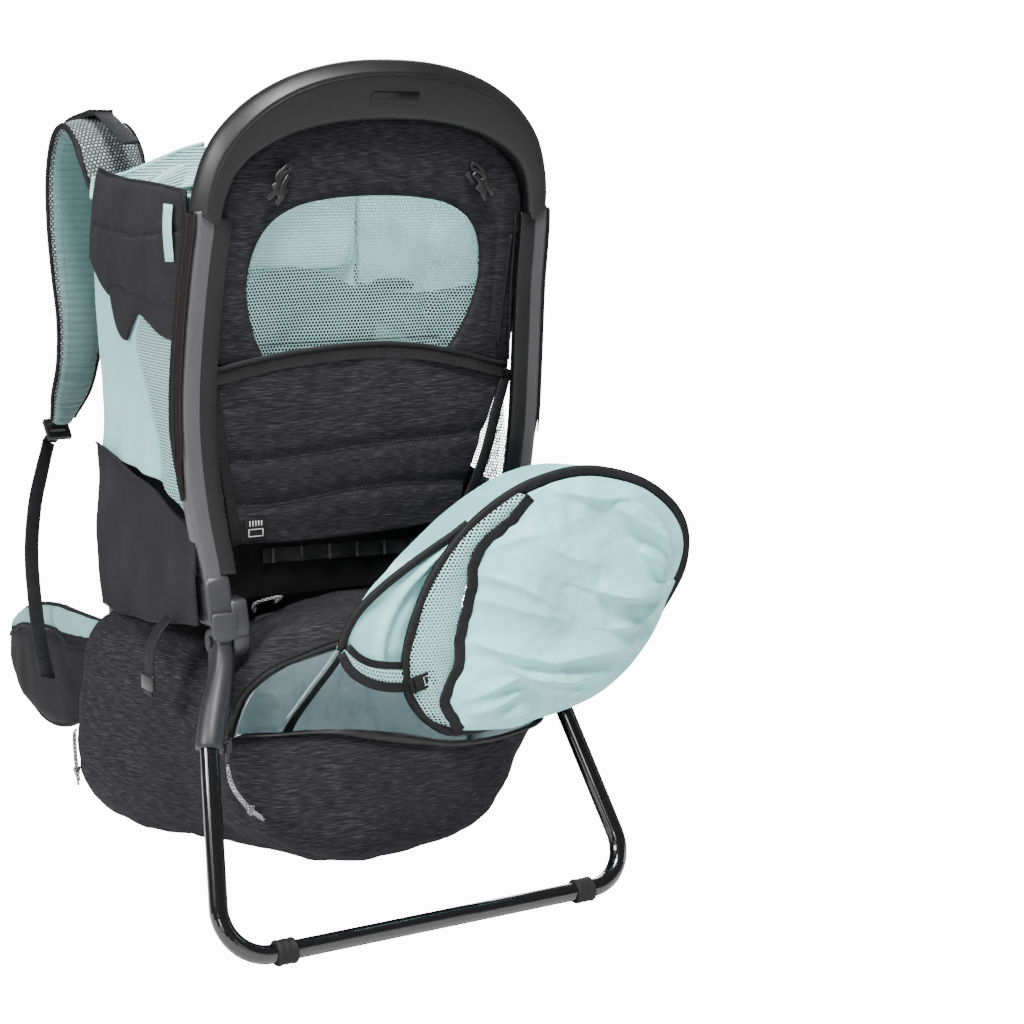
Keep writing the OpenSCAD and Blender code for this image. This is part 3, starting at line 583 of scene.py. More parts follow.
def pull_cord(name, node, pts):
    """Doubled braided pull with a knot near its end and two short tails."""
    path = even(pts, 1.6)
    o = sweep(name, path, circle(1.25, 8), *CORD, ref=(0.1, 1, 0.2))
    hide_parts(node)
    n = len(path)
    side = Vector((0.85, -0.25, 0.35)) * 1.9
    extra = sweep(name + "_second_leg", [p + side * min(1, k / 4) for k, p in enumerate(path[1:n - 2])],
                  circle(1.2, 8), *CORD, ref=(0.1, 1, 0.2))
    c = path[int(n * 0.74)] + side * 0.5
    kn = knot(name + "_knot", c, 3.6)


pull_cord("pull_cord_rear", "pull_cord_rear", CORD_REAR)
pull_cord("pull_cord_side", "pull_cord_side", CORD_SIDE)
loop_path = even(LID_LOOP, 2.0)
lid_loop = sweep("lid_cord_loop", loop_path, circle(1.5, 10), *CORD, ref=(0.05, 0.1, 1))
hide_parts("lid_cord_loop")

# ---- light ----------------------------------------------------------------
world = bpy.data.worlds.new("studio")
bpy.context.scene.world = world
world.use_nodes = True
wt = world.node_tree
bg = wt.nodes["Background"]
bg.inputs["Color"].default_value = (1, 1, 1, 1)
seen = add(wt, "ShaderNodeBackground", {"Color": (1, 1, 1, 1), "Strength": 14.0})
bg.inputs["Strength"].default_value = 0.20
lp = add(wt, "ShaderNodeLightPath")
mixw = add(wt, "ShaderNodeMixShader", {0: lp.outputs["Is Camera Ray"], 1: bg.outputs[0], 2: seen.outputs[0]})
wt.links.new(mixw.outputs[0], wt.nodes["World Output"].inputs[0])


def softbox(name, at, aim, w, h, power, tint=(1, 1, 1)):
    d = bpy.data.lights.new(name, "AREA")
    d.shape = "RECTANGLE"
    d.size, d.size_y = w, h
    d.energy = power
    d.color = tint
    o = bpy.data.objects.new(name, d)
    COLL.objects.link(o)
    o.location = P(*at)
    o.rotation_euler = (P(*aim) - P(*at)).to_track_quat("-Z", "Y").to_euler()
    return o


MID = (0, 100, 400)
softbox("key_left", (-2000, -300, 1500), MID, 0.8, 0.8, 80)
softbox("top_rear", (-350, -950, 2300), MID, 0.7, 0.5, 120)
softbox("fill_front", (500, -2400, 350), MID, 1.6, 0.9, 7)
softbox("strip_left", (-1500, -1500, 500), MID, 0.16, 1.8, 10)
softbox("strip_right", (1700, -700, 500), MID, 0.16, 1.8, 4)
softbox("rim_back", (900, 1700, 1300), MID, 1.0, 1.4, 34)

# ---- stage ----------------------------------------------------------------
floor_me = bpy.data.meshes.new("floor")
floor_me.from_pydata([(-6, -6, 0), (6, -6, 0), (6, 6, 0), (-6, 6, 0)], [], [(0, 1, 2, 3)])
floor_ob = bpy.data.objects.new("floor", floor_me)
COLL.objects.link(floor_ob)
fm, ft, fb = start("floor_pale", 0.9)
fb.inputs["Base Color"].default_value = (0.8, 0.8, 0.8, 1)
femit = add(ft, "ShaderNodeEmission", {"Color": (1, 1, 1, 1), "Strength": 14.0})
flp = add(ft, "ShaderNodeLightPath")
fmix = add(ft, "ShaderNodeMixShader", {0: flp.outputs["Is Camera Ray"], 1: fb.outputs[0],
                                       2: femit.outputs[0]})
ft.links.new(fmix.outputs[0], ft.nodes["Material Output"].inputs[0])
floor_me.materials.append(fm)

# ---- rear frame -----------------------------------------------------------
POST = [(172.5, -32, 658), (173, -31, 640), (174.5, -26, 616), (176, -19, 580), (178, -13, 535),
        (179, -8.5, 490), (177.5, -6.5, 446), (171, -5, 390), (161, -3.5, 340), (156.6, -3, 314)]
ARI = [(160.8, 642), (159.7, 657), (157.5, 670), (152, 685), (143, 697.5), (129, 709), (110, 719),
       (90, 726.5), (68, 731.5), (45, 735), (22, 736.6), (0, 737)]
ARO = [(185.4, 657), (184.6, 672), (181.5, 689), (176.5, 706), (168, 723), (154, 740), (134, 757),
       (107, 772), (80, 781.5), (52, 787.5), (26, 790.3), (0, 791)]


def arch_y(z):
    return -45.5 - 0.22 * (z - 650)


def both_halves(half):
    return [(x, z, 0) for x, z in half] + [(-x, z, 0) for x, z in reversed(half[:-1])]


def head_arch():
    """Moulded cover of the head arch with its ridge bead and blank badge."""
    ai = catmull(both_halves(ARI), 121)
    ao = catmull(both_halves(ARO), 121)
    rows = []
    for a, b in zip(ai, ao):
        w = (b - a).length
        u = (b - a).normalized()
        r = min(11.0, 0.30 * w)
        prof = [(0, 7), (0.5, 3.4), (2.6, 1.0), (6, 0.1), (w * 0.45, -0.5), (w - r - 1.6, 0.0),
                (w - r - 0.5, 0.25), (w - r + 0.4, 0.9), (w - 3.2, 9.5), (w - 1.0, 13), (w, 17),
                (w - 0.6, 21), (w - 3.5, 24.6), (w - 8, 26), (w * 0.5, 26), (7, 26), (2, 24.5), (0.2, 20)]
        ring = []
        for q, d in prof:
            c = a + u * q
            ring.append((c.x, arch_y(c.y) + d, c.y))
        rows.append(ring)
    arch = surface("head_arch_cover", rows, *ARCH, closed=True, cap=True)
    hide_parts("head_arch")
    ridge = []
    for a, b in zip(ai, ao):
        w = (b - a).length
        c = a + (b - a).normalized() * (w - min(11.0, 0.30 * w) - 3.4)
        ridge.append((c.x, arch_y(c.y) - 0.15, c.y))
    tube("arch_ridge_bead", ridge[3:-3], 0.55, *ARCH, n=6)
    block("arch_blank_badge", (0, arch_y(757) - 0.2, 757), (50, 2.4, 11), M["badge"], "frame",
          "arch_plastic", r=1.1, turn=rot("X", 12.4))


head_arch()

POST_RING = [(-10.9, -9.4), (-9.6, -11), (-4, -11.15), (4, -11.15), (8.6, -10.6), (10.4, -8.8), (11, -5),
             (11.1, 2), (10.8, 8.6), (9.2, 10.7), (0, 11), (-9.4, 10.8), (-10.9, 9.2), (-11.1, 0)]


def post_rows(path, ring, s, spin=5.0):
    c, d = math.cos(math.radians(spin)), math.sin(math.radians(spin))
    return [[(s * (p[0] + q[0] * c - q[1] * d), p[1] + q[0] * d + q[1] * c, p[2]) for q in ring]
            for p in path]


def post_side(s, tag):
    """Post with its fabric sleeve and inner strip."""
    post = surface("post_" + tag + "_section", post_rows(catmull(POST, 60), POST_RING, s), M["frame"],
                   "frame", "frame_satin", closed=True, cap=True)
    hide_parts("post_" + tag)
    path = [p for p in catmull(POST, 80) if p.z > 395]
    taper = len(path)
    sleeve = []
    for i, p in enumerate(path):
        k = min(1, 0.25 + (taper - i) / 14)
        sleeve.append([(s * (p.x + 12.8 + q[0] * k), p.y + 3.5 + q[1] * k, min(p.z, 656))
                       for q in circle(3.0, 14, 12.5)])
    trim = surface("post_trim_sleeve_" + tag, sleeve, M["trim"], "frame", "trim_fabric", closed=True,
                   cap=True)
    if s > 0:
        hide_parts("post_trims")
    for k, (dx, dy) in enumerate(((13.6, -8.6), (15.8, 1.5))):
        tube("post_trim_piping_%s_%d" % (tag, k), [(s * (p.x + dx), p.y + dy, min(p.z, 655))
                                                   for p in path[2:-6]], 0.9, M["binding"], "frame",
             "trim_fabric", n=8)
    low = [p for p in catmull(POST, 80) if 326 < p.z < 652]
    inner = surface("inner_strip_" + tag,
                    [[(s * (p.x - 12.4 + q[0]), p.y - 9.6 + q[1], p.z) for q in slab(8.2, 2.8, 1)]
                     for p in low], M["strip"], "frame", "trim_fabric", closed=True, cap=True)
    if s > 0:
        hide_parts("inner_strips")
    tube("inner_strip_edge_" + tag, [(s * (p.x - 21.4), p.y - 3.2, p.z) for p in low if p.z > 505], 1.1,
         M["binding"], "frame", "trim_fabric", n=8)


def hinge_side(s, tag):
    """Bracket under the post, its front lip, inner boss and web, and the strut lug."""
    hz = []
    for z, cx, cy, hx, hy in ((330, 159, -3.2, 10.4, 10.4), (324, 158, -3.2, 12.2, 12.2),
                              (312, 157, -3.6, 12.8, 12.8), (300, 156.2, -4.6, 13.0, 13.4),
                              (288, 155.5, -6, 12.8, 13.6), (284, 155.4, -6.2, 11.8, 12.6)):
        tilt = 0.30
        hz.append([(s * (cx + q[0]), cy + q[1], z - (tilt * q[0] if z > 310 else 0))
                   for q in slab(hx, hy, 4.2, 4)])
    br = surface("hinge_bracket_" + tag, hz, *HOUSING, closed=True, cap=True)
    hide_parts("hinge_housing_" + tag)
    lip_rows = []
    for k in range(9):
        f = k / 8
        z = 296 - 27 * f
        h = 12.6 * math.sqrt(max(0.05, 1 - max(0, f - 0.62) ** 2 / 0.16))
        lip_rows.append([(s * (155.4 + q[0]), -21.0 - 2.2 * f + q[1], z)
                         for q in slab(h, 3.4 - 1.4 * f, 1.4, 3)])
    surface("hinge_lip_" + tag, lip_rows, *HOUSING, closed=True, cap=True)
    boss = []
    for x, r in ((129.6, 13), (130.2, 15.5), (132.5, 17), (144, 17), (146.4, 16), (147, 13.5)):
        boss.append([(s * x, -8 + r * math.cos(2 * math.pi * k / 36),
                      268 + r * math.sin(2 * math.pi * k / 36)) for k in range(36)])
    surface("hinge_boss_" + tag, boss, *HOUSING, closed=True, cap=True)
    web = []
    for z, cy, hy in ((268, -8, 16.6), (282, -8, 16.2), (296, -6, 15.4), (304, -5, 14), (306, -5, 12)):
        web.append([(s * (138.6 + q[0]), cy + q[1], z) for q in slab(8.2, hy, 2.5, 3)])
    surface("hinge_web_" + tag, web, *HOUSING, closed=True, cap=True)
    ribbon("flank_front_strip_" + tag, [(s * 155, 13, 385), (s * 154, 13, 350), (s * 152, 13, 300)], 15,
           1.6, M["trim"], "frame", "trim_fabric", wide=(1, 0, 0), step=6)
    block("strut_lug_" + tag, (s * 146, 13, 302), (17, 18, 17), *ARCH, r=3)


def leg_side(s, tag):
    """Pivot disc and bent sleeve of the kickstand leg."""
    disc = []
    for x, r in ((147.6, 12.4), (148.4, 14), (161, 14), (162.6, 12.8), (163, 10.5)):
        disc.append([(s * x, -8 + r * math.cos(2 * math.pi * k / 36),
                      268 + r * math.sin(2 * math.pi * k / 36)) for k in range(36)])
    surface("leg_disc_" + tag, disc, M["housing"], "kickstand", "arch_plastic", closed=True, cap=True)
    path = even([(155.3, -10, 268), (156, -14, 256), (160, -21, 241), (169, -31, 222), (179, -42, 203),
                 (185.5, -50, 189), (188.2, -53.8, 181)], 3)
    path = [Vector((s * p.x, p.y, p.z)) for p in path]
    n = len(path)
    rows = []
    for i, p in enumerate(path):
        f = i / (n - 1)
        t = tangent(path, i)
        a = (Vector((1, 0, 0)) - t * t.x).normalized()
        b = t.cross(a)
        hx = 8.2 + (12.9 - 8.2) * min(1, f * 1.6)
        hy = 13.4 - 0.9 * f
        ex = 0.55 + 0.45 * min(1, f * 1.4)
        rows.append([p + a * (hx * pw(math.cos(v), ex)) + b * (hy * pw(math.sin(v), ex))
                     for v in (2 * math.pi * k / 32 for k in range(32))])
    c = sum(rows[-1], Vector()) / 32
    rows.append([c + (q - c) * 0.93 + tangent(path, n - 1) * 0.6 for q in rows[-1]])
    sl = surface("leg_sleeve_" + tag, rows, M["sleeve"], "kickstand", "arch_plastic", closed=True, cap=True)
    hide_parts("stand_socket_" + tag)


for side, side_name in SIDES:
    post_side(side, side_name)
    hinge_side(side, side_name)
    leg_side(side, side_name)


def stand_foot(s, tag):
    """Clip-on foot of the kickstand bar."""
    rings = []
    for x, r in ((150.2, 10.2), (151, 11.4), (152.6, 11.9), (154.4, 11.3), (158.6, 11.3), (160, 11.7),
                 (161.4, 11.3), (165.6, 11.3), (167.4, 11.9), (169, 11.4), (169.8, 10.2)):
        ring = []
        for k in range(32):
            v = 2 * math.pi * k / 32
            y, z = r * math.cos(v), 11.5 + r * math.sin(v)
            if z < 11.5:
                y = math.copysign(min(abs(y) * 1.12, 10.8), y)
                z = max(z, 0.2)
            ring.append((s * x, -137.4 + y, z))
        rings.append(ring)
    foot = surface("stand_foot_" + tag, rings, M["rubber"], "kickstand", "rubber_black", closed=True,
                   cap=True)
    if s > 0:
        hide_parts("stand_feet")


for side, side_name in SIDES:
    stand_foot(side, side_name)

# ---- cloth helpers --------------------------------------------------------
def dense(points, n=120):
    return [(p.x, p.y) for p in catmull([(q[0], q[1], 0) for q in points], n)]


def respace(poly, n):
    """n points evenly along a closed flat outline."""
    pts = [Vector((p[0], p[1], 0)) for p in poly]
    pts.append(pts[0])
    run = [0.0]
    for a, b in zip(pts, pts[1:]):
        run.append(run[-1] + (b - a).length)
    out, j = [], 0
    for k in range(n):
        want = run[-1] * k / n
        while run[j + 1] < want:
            j += 1
        f = (want - run[j]) / max(run[j + 1] - run[j], 1e-9)
        q = pts[j].lerp(pts[j + 1], f)
        out.append((q.x, q.y))
    return out


def hit(poly, c, ang):
    """Where a ray from c at this angle meets a closed flat outline."""
    dx, dy = math.cos(ang), math.sin(ang)
    best = 0.0
    for i, p in enumerate(poly):
        q = poly[(i + 1) % len(poly)]
        ax, ay, ex, ey = p[0] - c[0], p[1] - c[1], q[0] - p[0], q[1] - p[1]
        den = dx * ey - dy * ex
        if abs(den) > 1e-9:
            t, s = (ax * ey - ay * ex) / den, (ax * dy - ay * dx) / den
            if t > best and -1e-6 <= s <= 1 + 1e-6:
                best = t
    return c[0] + dx * best, c[1] + dy * best


def patch(name, outline, centre, put, mats, body, slot=None, hole=None, rings=12, spokes=150, thick=0.0,
          sub=0, power=1.0, offset=0.0):
    """Cloth from its outline to its centre or hole; put(u, v, k) places a point, k = 0 at the edge."""
    edge = respace(outline, spokes)
    flat, verts = [], []
    m = rings + 1 if hole else rings
    for i in range(m):
        k = (i / rings) ** power
        for p in edge:
            q = hit(hole, centre, math.atan2(p[1] - centre[1], p[0] - centre[0])) if hole else centre
            f = (p[0] + (q[0] - p[0]) * k, p[1] + (q[1] - p[1]) * k)
            flat.append(f)
            verts.append(put(f[0], f[1], k))
    faces = [(i * spokes + j, i * spokes + (j + 1) % spokes, (i + 1) * spokes + (j + 1) % spokes,
              (i + 1) * spokes + j) for i in range(m - 1) for j in range(spokes)]
    if not hole:
        flat.append(centre)
        verts.append(put(centre[0], centre[1], 1.0))
        faces += [((m - 1) * spokes + j, (m - 1) * spokes + (j + 1) % spokes, len(verts) - 1)
                  for j in range(spokes)]
    o = link(name, verts, faces, [[flat[v] for v in f] for f in faces], mats, body)
    thicken(o, thick, sub, offset)
    return o


def thicken(o, thick, sub=0, offset=0.0):
    if thick:
        s = o.modifiers.new("thick", "SOLIDIFY")
        s.thickness = thick / 1000
        s.offset = offset
    if sub:
        s = o.modifiers.new("soft", "SUBSURF")
        s.levels = s.render_levels = sub


def between(name, top, bottom, put, mats, body, slot=None, cols=60, rows=40, thick=0.0, offset=0.0):
    """Cloth between two flat lines; put(u, v, s, t) places a point, s along and t from top to bottom."""
    a, b = dense(top, cols), dense(bottom, cols)
    flat, verts = [], []
    for i in range(rows):
        t = i / (rows - 1)
        for j in range(cols):
            f = (a[j][0] + (b[j][0] - a[j][0]) * t, a[j][1] + (b[j][1] - a[j][1]) * t)
            flat.append(f)
            verts.append(put(f[0], f[1], j / (cols - 1), t))
    faces = [(i * cols + j, i * cols + j + 1, (i + 1) * cols + j + 1, (i + 1) * cols + j)
             for i in range(rows - 1) for j in range(cols - 1)]
    o = link(name, verts, faces, [[flat[v] for v in f] for f in faces], mats, body)
    thicken(o, thick, 0, offset)
    return o


def near(p, line):
    """Distance from p to a polyline."""
    p, best = Vector(p), 1e9
    for a, b in zip(line, line[1:]):
        a, b = Vector(a), Vector(b)
        t = max(0, min(1, (p - a).dot(b - a) / max((b - a).length_squared, 1e-9)))
        best = min(best, (p - a - (b - a) * t).length)
    return best


def groove(p, line, depth, width):
    d = near(p, line) / width
    return -depth * math.exp(-d * d) if d < 3 else 0.0


def pleat(x, z, line, high, soft, sharp):
    """Tension fold of a flat cloth: gentle on one side of its line, steep on the other."""
    best, side, along, run = 1e9, 1, 0.0, 0.0
    for a, b in zip(line, line[1:]):
        ex, ez = b[0] - a[0], b[1] - a[1]
        ln = math.hypot(ex, ez)
        t = max(0, min(1, ((x - a[0]) * ex + (z - a[1]) * ez) / (ln * ln)))
        dx, dz = x - a[0] - ex * t, z - a[1] - ez * t
        d = math.hypot(dx, dz)
        if d < best:
            best, side, along = d, 1 if ex * dz - ez * dx > 0 else -1, run + ln * t
        run += ln
    end = math.sin(math.pi * min(max(along / run, 0.02), 0.98)) ** 0.6
    return high * end * math.exp(-best / (soft if side > 0 else sharp))


def inflate(o, cap, voxel=5.0, pressure=4.0):
    """Swells a stuffed piece with a short cloth run; cap is the most a point moves, in mm."""
    scene = bpy.context.scene
    src = o.data
    tone = [(p.center.copy(), p.material_index) for p in src.polygons] if len(src.materials) > 1 else []
    rm = o.modifiers.new("remesh", "REMESH")
    rm.mode = "VOXEL"
    rm.voxel_size = voxel / 1000
    dg = bpy.context.evaluated_depsgraph_get()
    me = bpy.data.meshes.new_from_object(o.evaluated_get(dg))
    o.modifiers.clear()
    o.data = me
    start_at = [v.co.copy() for v in me.vertices]
    cl = o.modifiers.new("cloth", "CLOTH")
    st = cl.settings
    st.quality = 4
    st.mass = 0.3
    st.use_pressure = True
    st.uniform_pressure_force = pressure
    st.effector_weights.gravity = 0
    st.tension_stiffness = 12
    st.bending_stiffness = 0.4
    cl.point_cache.frame_start = 1
    cl.point_cache.frame_end = 20
    cl.collision_settings.use_collision = False
    for f in range(1, 21):
        scene.frame_set(f)
    dg = bpy.context.evaluated_depsgraph_get()
    end = [v.co.copy() for v in o.evaluated_get(dg).data.vertices]
    o.modifiers.clear()
    scene.frame_set(1)
    for v, a, b in zip(me.vertices, start_at, end):
        d = b - a
        lim = cap / 1000
        v.co = a + (d * (lim / d.length) if d.length > lim else d)
    if tone:
        tree = KDTree(len(tone))
        for i, (c, _) in enumerate(tone):
            tree.insert(c, i)
        tree.balance()
        for p in me.polygons:
            p.material_index = tone[tree.find(p.center)[1]][1]
    for p in me.polygons:
        p.use_smooth = True
    sm = o.modifiers.new("soft", "SUBSURF")
    sm.levels = sm.render_levels = 1


def settle(o, points):
    """Points moved on to the nearest part of a piece, then evened out."""
    tree = KDTree(len(o.data.vertices))
    for v in o.data.vertices:
        tree.insert(v.co, v.index)
    tree.balance()
    on = [p + (tree.find(Vector(P(*p)))[0] - Vector(P(*p))) * 1000 for p in points]
    n = len(on)
    return [sum((on[(i + j) % n] for j in (-2, -1, 0, 1, 2)), Vector()) / 5 for i in range(n)]


# ---- leaning rear panel ---------------------------------------------------
SN, CS = math.sin(math.radians(13)), math.cos(math.radians(13))
UP = [(168, 2), (168, 20), (168, 60), (166, 110), (163, 137), (156, 166), (147, 182), (134, 195),
      (118, 206), (101, 213.5), (81, 220), (60, 224), (38, 227), (14, 228.5)]
WIN = [(98, 2), (105, 14), (112, 27), (121, 54), (124.5, 82), (119, 112), (104, 135), (78, 149.5),
       (45, 155.5), (15, 157.5)]


def lean(x, v, d=0.0):
    """Point of the leaning panel: v up it, d out of it towards the wearer."""
    return Vector((x, 1 - v * SN + d * CS, 516.5 + v * CS + d * SN))


def both(half):
    return half + [(-x, v) for x, v in reversed(half)]


up_line = (dense(both(UP), 160) + [(-168, 2), (-120, -1), (-60, 1), (0, 4), (60, 1), (120, -4),
                                   (150, -14), (170, -19)])
win_line = dense(both(WIN), 120) + [(-98, 2), (-72, 9), (-40, 13), (0, 14), (40, 13), (72, 9)]
CENTRE = (0, 82)


def upper_put(x, v, k):
    d = 4.0 * max(0, 1 - k / 0.10) ** 2 + 2.6 * max(0, (k - 0.90) / 0.10) ** 2 - 1.6 * math.sin(math.pi * k)
    d += wob(x, 0, v, 42, 1.8) + wob(x, 3, v, 16, 0.5)
    d += 1.2 * math.exp(-((x - 142 + 0.05 * v) / 2.2) ** 2) * (v > 30)
    return lean(x, v, d)


def upper_panel():
    """Upper cloth with the rim of the window, its seam and side cord."""
    upper = patch("rear_panel_upper_cloth", up_line, CENTRE, upper_put, *HEATHER, hole=win_line, rings=22,
                  spokes=240, thick=2.4)
    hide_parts("rear_panel_upper")
    rim = [lean(x, v, 3.2) for x, v in respace(win_line, 200)]
    sweep("window_rim", rim, circle(1.7, 8), *DARK, ref=(0, 1, 0.2), closed=True)
    seam = [(x * 0.93, 4 + (v - 4) * 0.94) for x, v in up_line[6:154]]
    tube("upper_panel_seam", [lean(x, v, -1.2) for x, v in respace(seam, 90)[:84]], 0.5, *DARK, n=6)
    tube("upper_panel_side_cord", [lean(151, v, -3.0) for v in range(6, 126, 8)], 1.5, *BINDING, n=8)


upper_panel()


def window_put(x, v, k):
    f = 1 - (1 - k) ** 2
    d = 4.5 + 7.5 * f + wob(x, 0, v, 38, 2.6) * k
    d += 3.5 * math.exp(-((x - 70 + 0.10 * (v - 80)) / 5.0) ** 2) * min(1, k * 4) * (v > 40)
    d += 2.4 * math.exp(-((x - 96 + 0.5 * (v - 60)) / 6.0) ** 2) * min(1, k * 4) * (v < 90)
    return lean(x, v, d)


def window_mesh():
    big_win = [(x * 1.03, 82 + (v - 82) * 1.03) for x, v in win_line]
    window = patch("window_mesh_cloth", big_win, CENTRE, window_put, M["mesh"], "frame", "mesh_teal",
                   rings=26, spokes=200)
    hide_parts("window_mesh")


window_mesh()

ZIP_LINE = [(-160, -4, 507), (-140, -5, 511), (-120, -6, 515), (-70, -6.5, 522), (0, -7, 526),
            (60, -6.5, 522), (110, -6, 512), (140, -5, 504), (160, -4, 499)]


def panel_zip():
    flap = ribbon("panel_zip_flap", ZIP_LINE, 8.0, 1.5, M["zip"], "frame", "binding_black",
                  wide=(0, 0.12, 1), step=6)
    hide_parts("panel_zip")
    tube("panel_zip_roll", [(x, y - 1.4, z + 5.5) for x, y, z in ZIP_LINE], 2.1, *BINDING, n=8, step=6)
    tube("panel_zip_under", [(x, y - 0.6, z - 6.5) for x, y, z in ZIP_LINE], 1.7, *BINDING, n=8, step=6)


panel_zip()

# lower quilted panel
TOPL = [(-153, 503), (-100, 513), (-50, 520), (0, 522), (50, 520), (100, 513), (157, 497)]
BOTL = [(-120, 352), (-70, 350), (-20, 350), (30, 351), (70, 353), (108, 357)]
SEAMS = ([(-138, 429), (-100, 428), (-50, 431), (0, 435), (50, 437), (100, 438), (130, 440)],
         [(-128, 388), (-90, 386), (-40, 391), (0, 395), (50, 396), (90, 394), (118, 392)])


def line_at(line, x):
    for a, b in zip(line, line[1:]):
        if a[0] <= x <= b[0]:
            return a[1] + (b[1] - a[1]) * (x - a[0]) / (b[0] - a[0])
    return line[0][1] if x < line[0][0] else line[-1][1]


def lower_y(x, z):
    y = -2.5 + 0.09 * (505 - z)
    for line in SEAMS:
        e = (z - line_at(line, x)) / 7
        y += 3.2 * math.exp(-e * e)
    y -= 2.5 * math.cos(min(1, abs(x) / 165) * math.pi / 2)
    return y + wob(x, 5, z, 60, 2.2) + wob(x, z, 2, 17, 0.6)


def lower_panel():
    """Quilted panel with its stitched seams and a painted shade line under each seam."""
    lower = between("rear_panel_lower_quilt", TOPL, BOTL,
                    lambda x, z, s, t: Vector((x, lower_y(x, z), z)), *HEATHER, cols=110, rows=70, thick=3)
    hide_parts("rear_panel_lower")
    for i, line in enumerate(SEAMS):
        run = dense(line, 60)
        stitch("quilt_stitches_%d" % i, [(x, lower_y(x, z) - 1.9, z) for x, z in run[3:-3]], "frame",
               pitch=4.2, dash=2.2, r=0.42)
        # painted shade: a black line just under each seam stands for the shade in its groove
        stitch("quilt_seam_shade_line_%d" % i, [(x, lower_y(x, z) - 1.6, z - 1.6) for x, z in run[3:-3]],
               "frame", M["black"], 4.2, 3.6, 0.5)


lower_panel()

BIND_L = [(-156, -4, 508), (-152, -4, 488), (-149, -3, 470), (-143, -1, 430), (-136, 2, 395),
          (-131, 5, 370), (-127, 8, 352)]
BIND_R = [(162, -4, 500), (157, -4, 484), (149, -3, 458), (139, -1, 420), (128, 2, 390), (118, 5, 368),
          (110, 8, 356)]


def bindings_and_gussets():
    bl = ribbon("panel_binding_left", BIND_L, 5.6, 1.7, *BINDING, wide=(1, 0, 0.25), step=6)
    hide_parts("panel_bindings")
    ribbon("panel_binding_right", BIND_R, 5.6, 1.7, *BINDING, wide=(1, 0, -0.3), step=6)
    for s, line, tag in ((-1, BIND_L, "left"), (1, BIND_R, "right")):
        a = even(line, 8)
        rows = []
        for p in a:
            far = Vector((s * (174 - 0.06 * (500 - p.z)), 12 + 0.10 * (500 - p.z), p.z + 6))
            rows.append([p.lerp(far, k / 10) + Vector((wob(p.x + k, 0, p.z, 22, 1.6),
                                                       3 * math.sin(math.pi * k / 10), 0))
                         for k in range(11)])
        g = surface("gusset_mesh_" + tag, rows, M["mesh"], "frame", "mesh_teal")
        if s < 0:
            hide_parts("gusset_meshes")


bindings_and_gussets()


def care_label():
    """Sewn label with a plain generic mark."""
    tag_card = block("care_label_card", (-108, lower_y(-108, 366) - 3.0, 366), (23, 1.2, 20), M["label"],
                     "frame", "label_black", r=0.5)
    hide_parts("care_label")
    for i, (dx, dz, w, h) in enumerate(((-6, 4.5, 1.2, 5), (-3, 4.5, 1.2, 5), (0, 4.5, 1.2, 5),
                                        (3, 4.5, 1.2, 5), (6, 4.5, 1.2, 5), (0, -1, 15, 0.8),
                                        (0, -7.5, 15, 0.8), (-7.2, -4.2, 0.8, 6), (7.2, -4.2, 0.8, 6))):
        block("care_label_mark_%d" % i, (-108 + dx, lower_y(-108, 366) - 3.75, 366 + dz), (w, 0.4, h),
              M["print"], "frame", "label_black", r=0.15, n=1)


care_label()


def canopy_clip(s, tag):
    """Hook that holds the sunshade on the upper panel."""
    def clip(dx, dz, d, s=s):
        return Vector((s * (103.7 - dx), -45 - d, 679 + dz))

    base = ribbon("canopy_clip_%s_web" % tag, [clip(9, 13, -2), clip(5, 8, 0), clip(1, 2, 0.5)], 7.5, 1.0,
                  *WEBBING, wide=(s * 0.5, 0, 0.85), step=2)
    for k, off in enumerate((-4.6, 4.6)):
        sweep("canopy_clip_%s_arm_%d" % (tag, k),
              even([clip(4 - off * 0.75, 12 + off * 0.5, 2), clip(-1 - off * 0.9, 7 + off * 0.4, 3.5),
                    clip(-3 - off * 0.45, 0 + off * 0.4, 4), clip(-5 - off * 0.8, -7 + off * 0.4, 3.6),
                    clip(-10 - off * 0.9, -13 + off * 0.5, 1)], 1.5), slab(2.4, 1.8, 0.9, 2), *BUCKLE,
              ref=(0, 1, 0))
    sweep("canopy_clip_%s_bar" % tag,
          even([clip(9, 15, 2), clip(2, 11, 3.5), clip(-4, 6, 3.5), clip(0, 14, 4), clip(7, 19, 2.5)],
               1.5, closed=True), slab(1.8, 1.6, 0.8, 2), *BUCKLE, ref=(0, 1, 0), closed=True)
    block("canopy_clip_%s_body" % tag, tuple(clip(-3, -2, 2.6)), (12, 4.4, 15), *BUCKLE, r=1.8,
          turn=rot("Y", 35 * s))
    if s < 0:
        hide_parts("canopy_clips")


for side, side_name in SIDES:
    canopy_clip(side, side_name)


def under_seat():
    """Recess under the quilted panel with its loop webbing; its back cloth is real, its black is painted
    shade.
    """
    # painted shade: the recess's back cloth is black fabric standing for the shade in the recess
    between("under_seat_cloth", [(-138, 372), (-70, 376), (0, 376), (70, 374), (136, 372)],
            [(-138, 296), (-70, 294), (0, 294), (70, 294), (136, 296)],
            lambda x, z, s, t: Vector((x, 23 + 0.06 * (376 - z) + wob(x, 0, z, 30, 2.5), z)), M["black"],
            "frame", "trim_fabric", cols=60, rows=24, thick=2)
    ribbon("loop_webbing", [(x, 20.5 + 1.8 * math.cos(x / 6.0), 334 - 0.03 * x)
                            for x in range(-95, 75, 4)], 7, 0.9, *WEBBING, wide=(0, 0.1, 1), step=4)
    for i, x in enumerate(range(-84, 72, 30)):
        block("loop_bartack_%d" % i, (x, 18.4, 334 - 0.03 * x), (2.2, 1.2, 14), M["thread"], "frame",
              "webbing_black", r=0.4)


under_seat()

